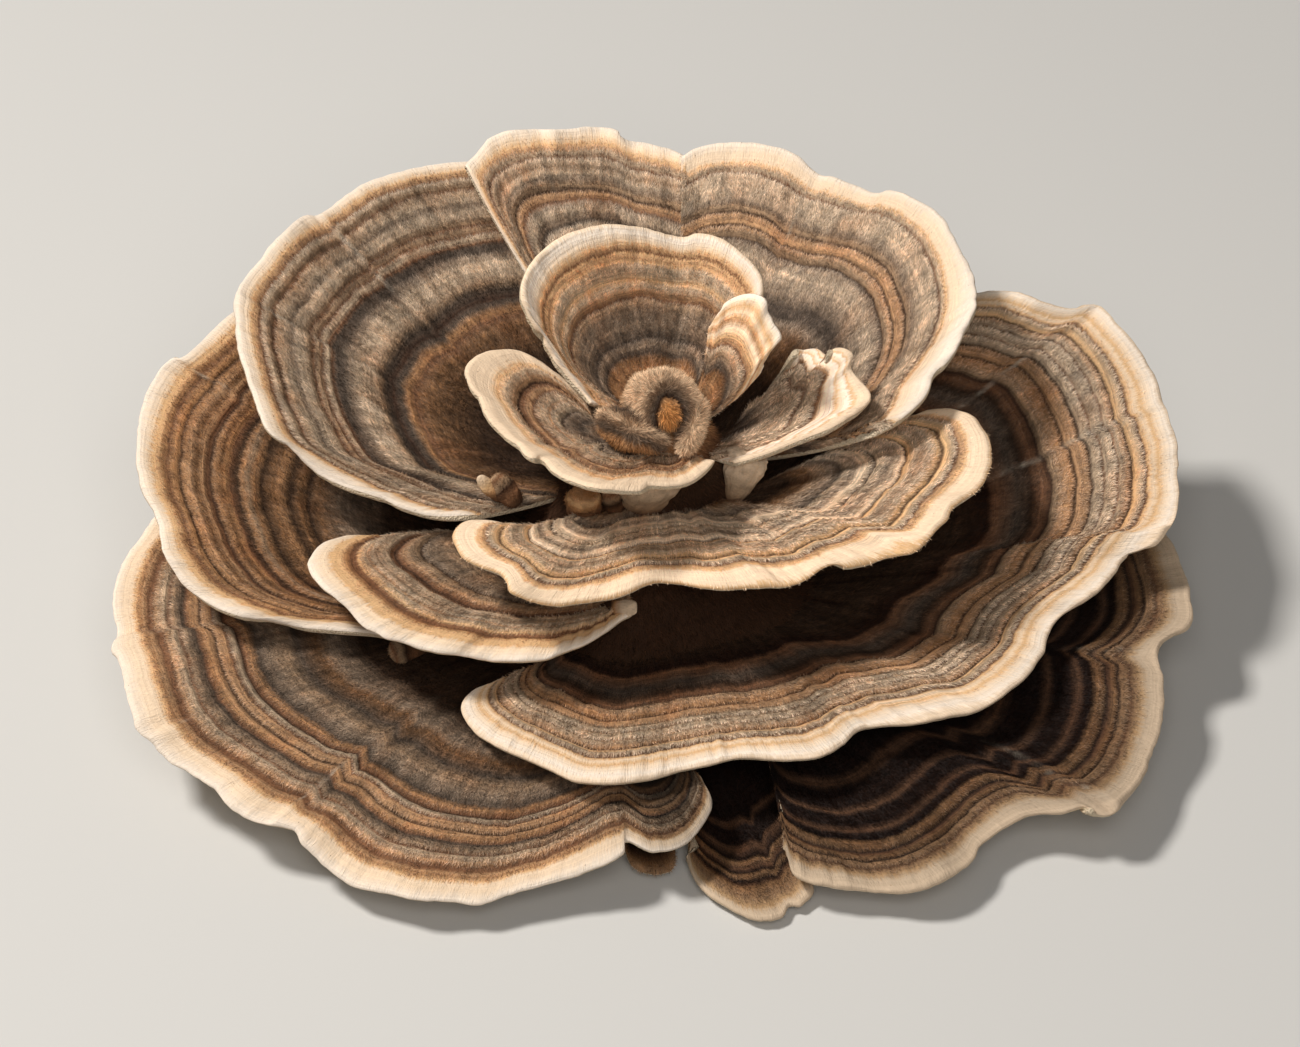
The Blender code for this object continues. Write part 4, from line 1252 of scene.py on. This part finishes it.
class Finish:
    """A material whose nodes are added one by one."""

    def __init__(self, name):
        self.material = bpy.data.materials.new(name)
        self.material.use_nodes = True
        self.tree = self.material.node_tree
        self.shader = self.tree.nodes["Principled BSDF"]

    def feed(self, socket, value):
        if isinstance(value, Value):
            self.tree.links.new(value.socket, socket)
        else:
            socket.default_value = value

    def node(self, kind, settings=None, inputs=None, output=0):
        made = self.tree.nodes.new(kind)
        for key, value in (settings or {}).items():
            setattr(made, key, value)
        for key, value in (inputs or {}).items():
            self.feed(made.inputs[key], value)
        return Value(self, made.outputs[output])

    def number(self, name):
        """What the piece holds under this name at each vertex."""
        return self.node("ShaderNodeAttribute", {"attribute_name": name}, output="Fac")

    def here(self):
        """The place on the piece, in metres."""
        return self.node("ShaderNodeTexCoord", output="Object")

    def noise(self, place, scale, detail=2.0, roughness=0.5):
        inputs = {"Vector": place, "Scale": scale, "Detail": detail, "Roughness": roughness}
        return self.node("ShaderNodeTexNoise", None, inputs, output="Fac")

    def place(self, x, y, z=0.0):
        return self.node("ShaderNodeCombineXYZ", None, {"X": x, "Y": y, "Z": z})

    def grain(self, across, radial, fineness, seed, detail=3.0, roughness=0.6):
        """Noise with this many bumps in a mm along the rim and in a mm away from it."""
        along, away = fineness
        return self.noise(self.place(across * along, radial * away, seed), 1.0, detail, roughness)

    def zones(self, bands, depth):
        """The bands' colours at a depth."""
        most = max(bands)
        ramp = self.node("ShaderNodeValToRGB", None, {"Fac": depth / most})
        stops = ramp.socket.node.color_ramp.elements
        while len(stops) < len(bands):
            stops.new(0.5)
        for stop, (at, zone) in zip(stops, bands.items()):
            stop.position = at / most
            stop.color = solid(zone.colour)
        return ramp

    def mix(self, share, first, second, blend="MIX"):
        settings = {"data_type": "RGBA", "blend_type": blend}
        inputs = {MIX_SHARE: share, MIX_FIRST: first, MIX_SECOND: second}
        return self.node("ShaderNodeMix", settings, inputs, MIX_RESULT)

    def between(self, value, low, high):
        """0 where value is at low and 1 where it is at high, with a soft way between."""
        inputs = {"Value": value, "From Min": low, "From Max": high}
        return self.node("ShaderNodeMapRange", {"interpolation_type": "SMOOTHSTEP"}, inputs)

    def lighten(self, colour, amount):
        """The colour times amount."""
        inputs = {0: colour, 1: self.place(amount, amount, amount)}
        return self.node("ShaderNodeVectorMath", {"operation": "MULTIPLY"}, inputs)

    def bump(self, height, distance, strength=1.0):
        inputs = {"Height": height, "Distance": distance * MM, "Strength": strength}
        return self.node("ShaderNodeBump", None, inputs)

    def done(self, **sockets):
        for name, value in sockets.items():
            self.feed(self.shader.inputs[name.replace("_", " ")], value)
        return self.material


def zone_colours(finish, cap, number, ragged):
    """The cap's bands, with ragged edges, fine growth rings, streaks and soft warm patches."""
    across, radial, depth = (finish.number(name) for name in ("across", "radial", "depth"))
    seed = PATTERN_STEP * number
    inner = finish.between(radial, *INSIDE)
    ring_strength, line_strength, streak_strength = (
        margin + more * inner for margin, more in (RING_STRENGTH, LINE_STRENGTH, STREAK_STRENGTH)
    )
    streak = finish.grain(across, radial, STREAKS, seed)
    colour = finish.zones(cap.bands, depth + (streak - 0.5) * (ragged + MARGIN_RAGGED * (1.0 - inner)))
    patch = finish.grain(across, radial, PATCHES, seed, detail=2.0, roughness=0.5)
    warm = finish.mix(1.0, colour, solid(WARMTH), "MULTIPLY")
    colour = finish.mix(finish.between(patch, *PATCH_LIMITS) * inner * PATCH_SHARE, colour, warm)
    ring = finish.grain(across, depth, RINGS, seed + RING_SEED)
    mottle = finish.grain(across, radial, MOTTLES, seed + MOTTLE_SEED)
    mottled = (mottle - 0.5) * MOTTLE_STRENGTH * finish.between(radial, *MOTTLE_REACH)
    colour = finish.lighten(colour, 1.0 + mottled)
    line = (ring - 0.5) * (ring - 0.5)
    line = (1.0 - finish.between(line, 0.0, LINE_WIDTH)) * line_strength
    colour = finish.lighten(colour, (1.0 + (ring - 0.5) * ring_strength) * (1.0 - line))
    colour = finish.lighten(colour, 1.0 + (streak - 0.5) * streak_strength)
    colour = finish.mix(finish.number("ridge") * RIDGE_MIX, colour, solid(RIDGE))
    return colour, across, radial, ring, streak


def flesh_finish(cap, number):
    """Skin between the hairs, darker where they are thick with painted shade, the smooth pale margin and the
    white pores underneath.
    """
    finish = Finish(f"{cap.name}_flesh")
    colour, across, radial, ring, streak = zone_colours(finish, cap, number, FLESH_RAGGED)
    fine = finish.grain(across, radial, FINE_GRAIN, FINE_SEED, detail=2.0)
    # painted shade on the skin under thick hair
    painted_hair_shade = 1.0 - HAIR_PAINTED_SHADE * finish.number("amount")
    colour = finish.lighten(colour, finish.number("shade") * painted_hair_shade * (FINE_LEAST + FINE_STRENGTH * fine))
    speck = finish.grain(across, radial, SPECKS, SPECK_SEED + number, detail=2.0, roughness=0.5)
    speck = finish.between(speck, *SPECK_LIMITS) * (1.0 - finish.between(radial, *SPECK_REACH))
    colour = finish.mix(speck * SPECK_SHARE, colour, solid(RUST.colour))
    here = finish.here()
    pores = finish.node("ShaderNodeTexVoronoi", None, {"Vector": here, "Scale": PORES}, output="Distance")
    pale = finish.mix(finish.noise(here, PORE_CLOUDS, detail=3.0), solid(PORE_WHITE), solid(PORE_TAN))
    below = finish.between(finish.number("under"), *UNDER_LIMITS)
    of_fine, of_ring, of_streak = SKIN_HEIGHTS
    height = finish.mix(below, fine * of_fine + ring * of_ring + streak * of_streak, pores)
    return finish.done(
        Base_Color=finish.mix(below, colour, pale),
        Roughness=0.78,
        Specular_IOR_Level=0.3,
        Normal=finish.bump(height, *SKIN_BUMP),
    )


def velvet_finish(cap, number):
    """The hairs: their zone's colour, greyer and brighter at the tips, darker at the roots with painted
    shade.
    """
    finish = Finish(f"{cap.name}_velvet")
    colour = zone_colours(finish, cap, number, VELVET_RAGGED)[0]
    tip = finish.number("tip")
    grey = finish.node("ShaderNodeRGBToBW", None, {"Color": colour})
    colour = finish.mix(tip * TIP_FROST, colour, finish.place(*(grey * share for share in FROST)))
    # greyer, paler tips are the hairs' own; the darker roots are painted shade
    at_root, more = TIP_SHADE
    colour = finish.lighten(colour, finish.number("shade") * (at_root + more * tip))
    return finish.done(Base_Color=colour, Roughness=0.7, Specular_IOR_Level=0.15)


def tuft_finish(name, bands, ragged):
    """Fuzz in ragged bands by depth, with pale hair tips and painted shade at the hairs' roots and on the
    skin between them.
    """
    finish = Finish(name)
    here = finish.here()
    streak = finish.noise(here, TUFT_STREAKS, detail=3.0, roughness=0.6)
    fine = finish.noise(here, TUFT_GRAIN)
    colour = finish.zones(bands, finish.number("depth") + (streak - 0.5) * ragged)
    (at_root, more), (least, grain) = TUFT_TIP_SHADE, TUFT_GRAIN_SHADE
    root = at_root + more * finish.number("tip")
    colour = finish.lighten(colour, finish.number("shade") * root * (least + grain * fine))
    normal = finish.bump(fine + streak, TUFT_BUMP)
    return finish.done(Base_Color=colour, Roughness=0.85, Specular_IOR_Level=0.2, Normal=normal)


# The holdfast, the bud, the young nubs and the necks.


def ring_surface(rows, middle, depth, amount, seed, lead):
    """A surface from rings of places, with normals away from the middle.

    Its hairs lean along the rows' order, or against it where lead is -1.
    """
    outwards, onwards = (unit(np.gradient(rows, axis=axis)) for axis in (0, 1))
    normals = unit(np.cross(outwards, onwards))
    normals = normals * np.sign((normals * (rows - middle)).sum(2, keepdims=True))
    strides = np.linalg.norm(np.diff(rows, axis=1), axis=2)
    across = np.concatenate([np.zeros((len(rows), 1)), strides.cumsum(1)], 1)
    radial = np.broadcast_to(travel(rows[:, 0])[:, None], across.shape)
    shade = 1 + ROUND_TUFTS.at(Drift(seed), across, radial)
    numbers = {"depth": depth, "radial": radial, "across": across, "shade": shade, "amount": amount}
    return Surface(rows, normals, lead * outwards, onwards, numbers)


def fuzzy(name, surface, finish, seed, coat, replaced=()):
    """The skin of a rounded piece, and the hairs on it."""
    numbers = {key: surface.numbers[key] for key in ("depth", "shade")}
    body = finished(f"{name}_body", sheet_mesh(name, surface.places, numbers, POLE_WELD), finish)
    if replaced:
        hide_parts(*replaced)
    if coat.density:
        fur(f"{name}_fuzz", surface, seed, finish, coat)


def holdfast():
    """The common base: lumpy dark fuzz, darkest under the caps where shade is painted, above a flat pale cut.
    """
    levels, spokes = HOLDFAST_GRID
    heights = np.linspace(0.0, HOLDFAST_LEVELS[-1, 0], levels)
    turn = np.linspace(0.0, 2 * np.pi, spokes)
    from_seam = np.minimum(turn, 2 * np.pi - turn) / SEAM_REACH
    smooth_seam = 0.5 - 0.5 * np.cos(clamp(from_seam) * np.pi)
    *lump_seeds, shade_seed, hair_seed = HOLDFAST_SEEDS
    noises = [Drift(seed) for seed in lump_seeds]
    away = np.stack([np.cos(turn), np.sin(turn)], 1)
    rows = []
    for height in heights:
        ring = holdfast_point(turn, np.full_like(turn, height))
        lump = 0.0
        for noise, (size, around, upwards) in zip(noises, HOLDFAST_LUMPS):
            lump = lump + size * noise(around * turn / (2 * np.pi), height / upwards)
        ring[:, :2] += (lump * smooth_seam)[:, None] * away * min(1.0, height / FLAT_FOOT)
        rows.append(ring)
    rows = np.array(rows)
    lowest, higher = FUZZ_START
    amount = np.broadcast_to(clamp((heights - lowest) / higher)[:, None], rows.shape[:2])
    middle = np.array((*HOLDFAST_LEVELS[:, 1:3].mean(0), heights[-1] / 2))
    surface = ring_surface(rows, middle, heights[-1] - rows[:, :, 2], amount, shade_seed, -1)
    finish = tuft_finish("holdfast_skin", HOLDFAST_BANDS, HOLDFAST_RAGGED)
    fuzzy("holdfast", surface, finish, hair_seed, HOLDFAST_COAT, ("holdfast",))


def globe(rings, spokes):
    """Angles from one pole to the other and round them, but for a pinhole at each pole."""
    angle = np.linspace(PINHOLE, np.pi - PINHOLE, rings)
    return np.meshgrid(angle, np.linspace(0.0, 2 * np.pi, spokes), indexing="ij")


def bud():
    """The young bud: soft curled lobes round a hollow with an orange middle."""
    angle, around = globe(*LOBE_GRID)
    way = np.stack([np.sin(angle) * np.cos(around), np.sin(angle) * np.sin(around), np.cos(angle)], 2)
    for number, lobe in enumerate(LOBES):
        lump_seed, shade_seed, hair_seed = (seed + number for seed in LOBE_SEEDS)
        drift = Drift(lump_seed)
        x, y = way[:, :, 0], way[:, :, 1]
        lump = 1.0
        for height, many, start_right, start_up in LOBE_LUMPS:
            lump = lump + height * drift(x * many + start_right, y * many + start_up)
        along, across, forward = np.moveaxis(way * lobe.half_sizes * lump[:, :, None], 2, 0)
        cosine, sine = cos(radians(lobe.turn)), sin(radians(lobe.turn))
        right = lobe.middle[0] + along * cosine - across * sine
        up = lobe.middle[1] + along * sine + across * cosine
        apart = np.hypot((right - BUD_EYE[0]) / EYE_HALF_SIZES[0], (up - BUD_EYE[1]) / EYE_HALF_SIZES[1])
        shown = clamp(forward + LOBE_FRONT)
        hollow, swell = (size * bell(apart / wide) for size, wide in (EYE_HOLLOW, EYE_SWELL))
        forward = forward - shown * (hollow - swell)
        slit = bell((right - BUD_SLIT[0]) / BUD_SLIT[2]) * clamp(BUD_SLIT[1] - up)
        forward = forward - shown * slit
        axes = (PICTURE_RIGHT, PICTURE_UP, -FORWARD)
        middle = BUD_MIDDLE + sum(size * axis for size, axis in zip(lobe.middle, axes))
        rows = BUD_MIDDLE + right[:, :, None] * PICTURE_RIGHT + up[:, :, None] * PICTURE_UP
        rows = rows - (forward + lobe.middle[2])[:, :, None] * FORWARD
        sideways = LOBE_BANDS_MIDDLE + LOBE_BANDS_MIDDLE * across / lobe.half_sizes[1]
        depth = apart if lobe.from_eye else sideways
        last, thinning = LOBE_HAIRS_END
        amount = along_bands(depth, lobe.bands, "hair") * clamp((last - angle) / thinning)
        surface = ring_surface(rows, middle, depth, amount, shade_seed, 1)
        # painted shade in the slit
        surface.numbers["shade"] = surface.numbers["shade"] * (1 - SLIT_PAINTED_SHADE * shown * slit)
        finish = tuft_finish(f"{lobe.name}_tufts", lobe.bands, SMALL_RAGGED)
        replaced = ("centre_bud",) if lobe.name == "centre_bud" else ()
        fuzzy(lobe.name, surface, finish, hair_seed, BUD_COAT, replaced)


def nubs():
    """The young nubs between the caps, and the pale pleated necks under two of the inner caps."""
    angle, around = globe(*NUB_GRID)
    near_tip = (1 + np.cos(angle)) / 2
    for number, nub in enumerate(NUBS):
        lump_seed, shade_seed, hair_seed = (seed + number for seed in NUB_SEEDS)
        foot, tip = np.array(nub.foot), np.array(nub.tip)
        axis = unit(tip - foot)
        side = unit(np.cross(axis, NUB_FACING))
        up = np.cross(side, axis)
        drift = Drift(lump_seed)
        lump = 1.0
        for (height, many, start, many_along), way in zip(NUB_LUMPS, (np.cos(around), np.sin(around))):
            lump = lump + height * drift(way * many + start, angle * many_along)
        pleat_height, pleats = NECK_PLEATS
        lump = lump + pleat_height * nub.flare * near_tip * np.sin(pleats * around + number)
        narrowing = 1 - nub.flare * (1 - near_tip) ** FLARE_POWER
        radius = np.sin(angle) ** nub.blunt * narrowing * lump
        length = np.linalg.norm(tip - foot) / 2
        rows = (foot + tip) / 2 + (np.cos(angle) * length)[:, :, None] * axis
        rows = rows + (radius * np.cos(around) * nub.width / 2)[:, :, None] * side
        rows = rows + (radius * np.sin(around) * nub.thickness / 2)[:, :, None] * up
        depth = (1 - np.cos(angle)) * length
        amount = along_bands(depth, nub.bands, "hair") * clamp(NUB_HAIRS_END * np.sin(angle))
        surface = ring_surface(rows, (foot + tip) / 2, depth, amount, shade_seed, -1)
        finish = tuft_finish(f"{nub.name}_skin", nub.bands, SMALL_RAGGED)
        coat = Coat(nub.fuzz, *NUB_HAIRS)
        fuzzy(nub.name, surface, finish, hair_seed, coat)


# The stage.


def set_up(name, data, place):
    """A camera or a lamp that looks at the fungus."""
    made = bpy.data.objects.new(name, data)
    made.location = place
    made.rotation_mode = "QUATERNION"
    made.rotation_quaternion = (Vector(VIEW_TARGET * MM) - made.location).to_track_quat("-Z", "Y")
    bpy.context.scene.collection.objects.link(made)
    return made


def camera():
    data = bpy.data.cameras.new("camera")
    data.lens = LENS
    data.sensor_width = SENSOR
    bpy.context.scene.camera = set_up("camera", data, Vector(EYE * MM))


def lamps():
    for name, place, size, power, colour in LAMPS:
        data = bpy.data.lights.new(name, "AREA")
        data.size = size
        data.energy = power
        data.color = colour
        set_up(name, data, place)


def floor():
    bm = bmesh.new()
    bmesh.ops.create_grid(bm, x_segments=1, y_segments=1, size=FLOOR_HALF_SIZE)
    mesh = bpy.data.meshes.new("floor")
    bm.to_mesh(mesh)
    bm.free()
    mesh.materials.append(Finish("floor").done(Base_Color=solid(FLOOR_GREY), Roughness=0.9))
    made = bpy.data.objects.new("floor", mesh)
    bpy.context.scene.collection.objects.link(made)


def studio():
    """A faint even light from all around."""
    world = bpy.data.worlds.new("studio")
    world.use_nodes = True
    sockets = world.node_tree.nodes["Background"].inputs
    sockets["Color"].default_value = solid(STUDIO_WHITE)
    sockets["Strength"].default_value = STUDIO_STRENGTH
    bpy.context.scene.world = world


bpy.context.scene.view_settings.view_transform = "Standard"
camera()
floor()
studio()
lamps()
holdfast()
bud()
nubs()
for number, cap in enumerate(CAPS):
    surface, lower = make_surface(cap, number)
    flesh(cap, surface, lower, flesh_finish(cap, number))
    slot = f"{cap.name}_velvet"
    fur(slot, surface, number, velvet_finish(cap, number), VELVET)
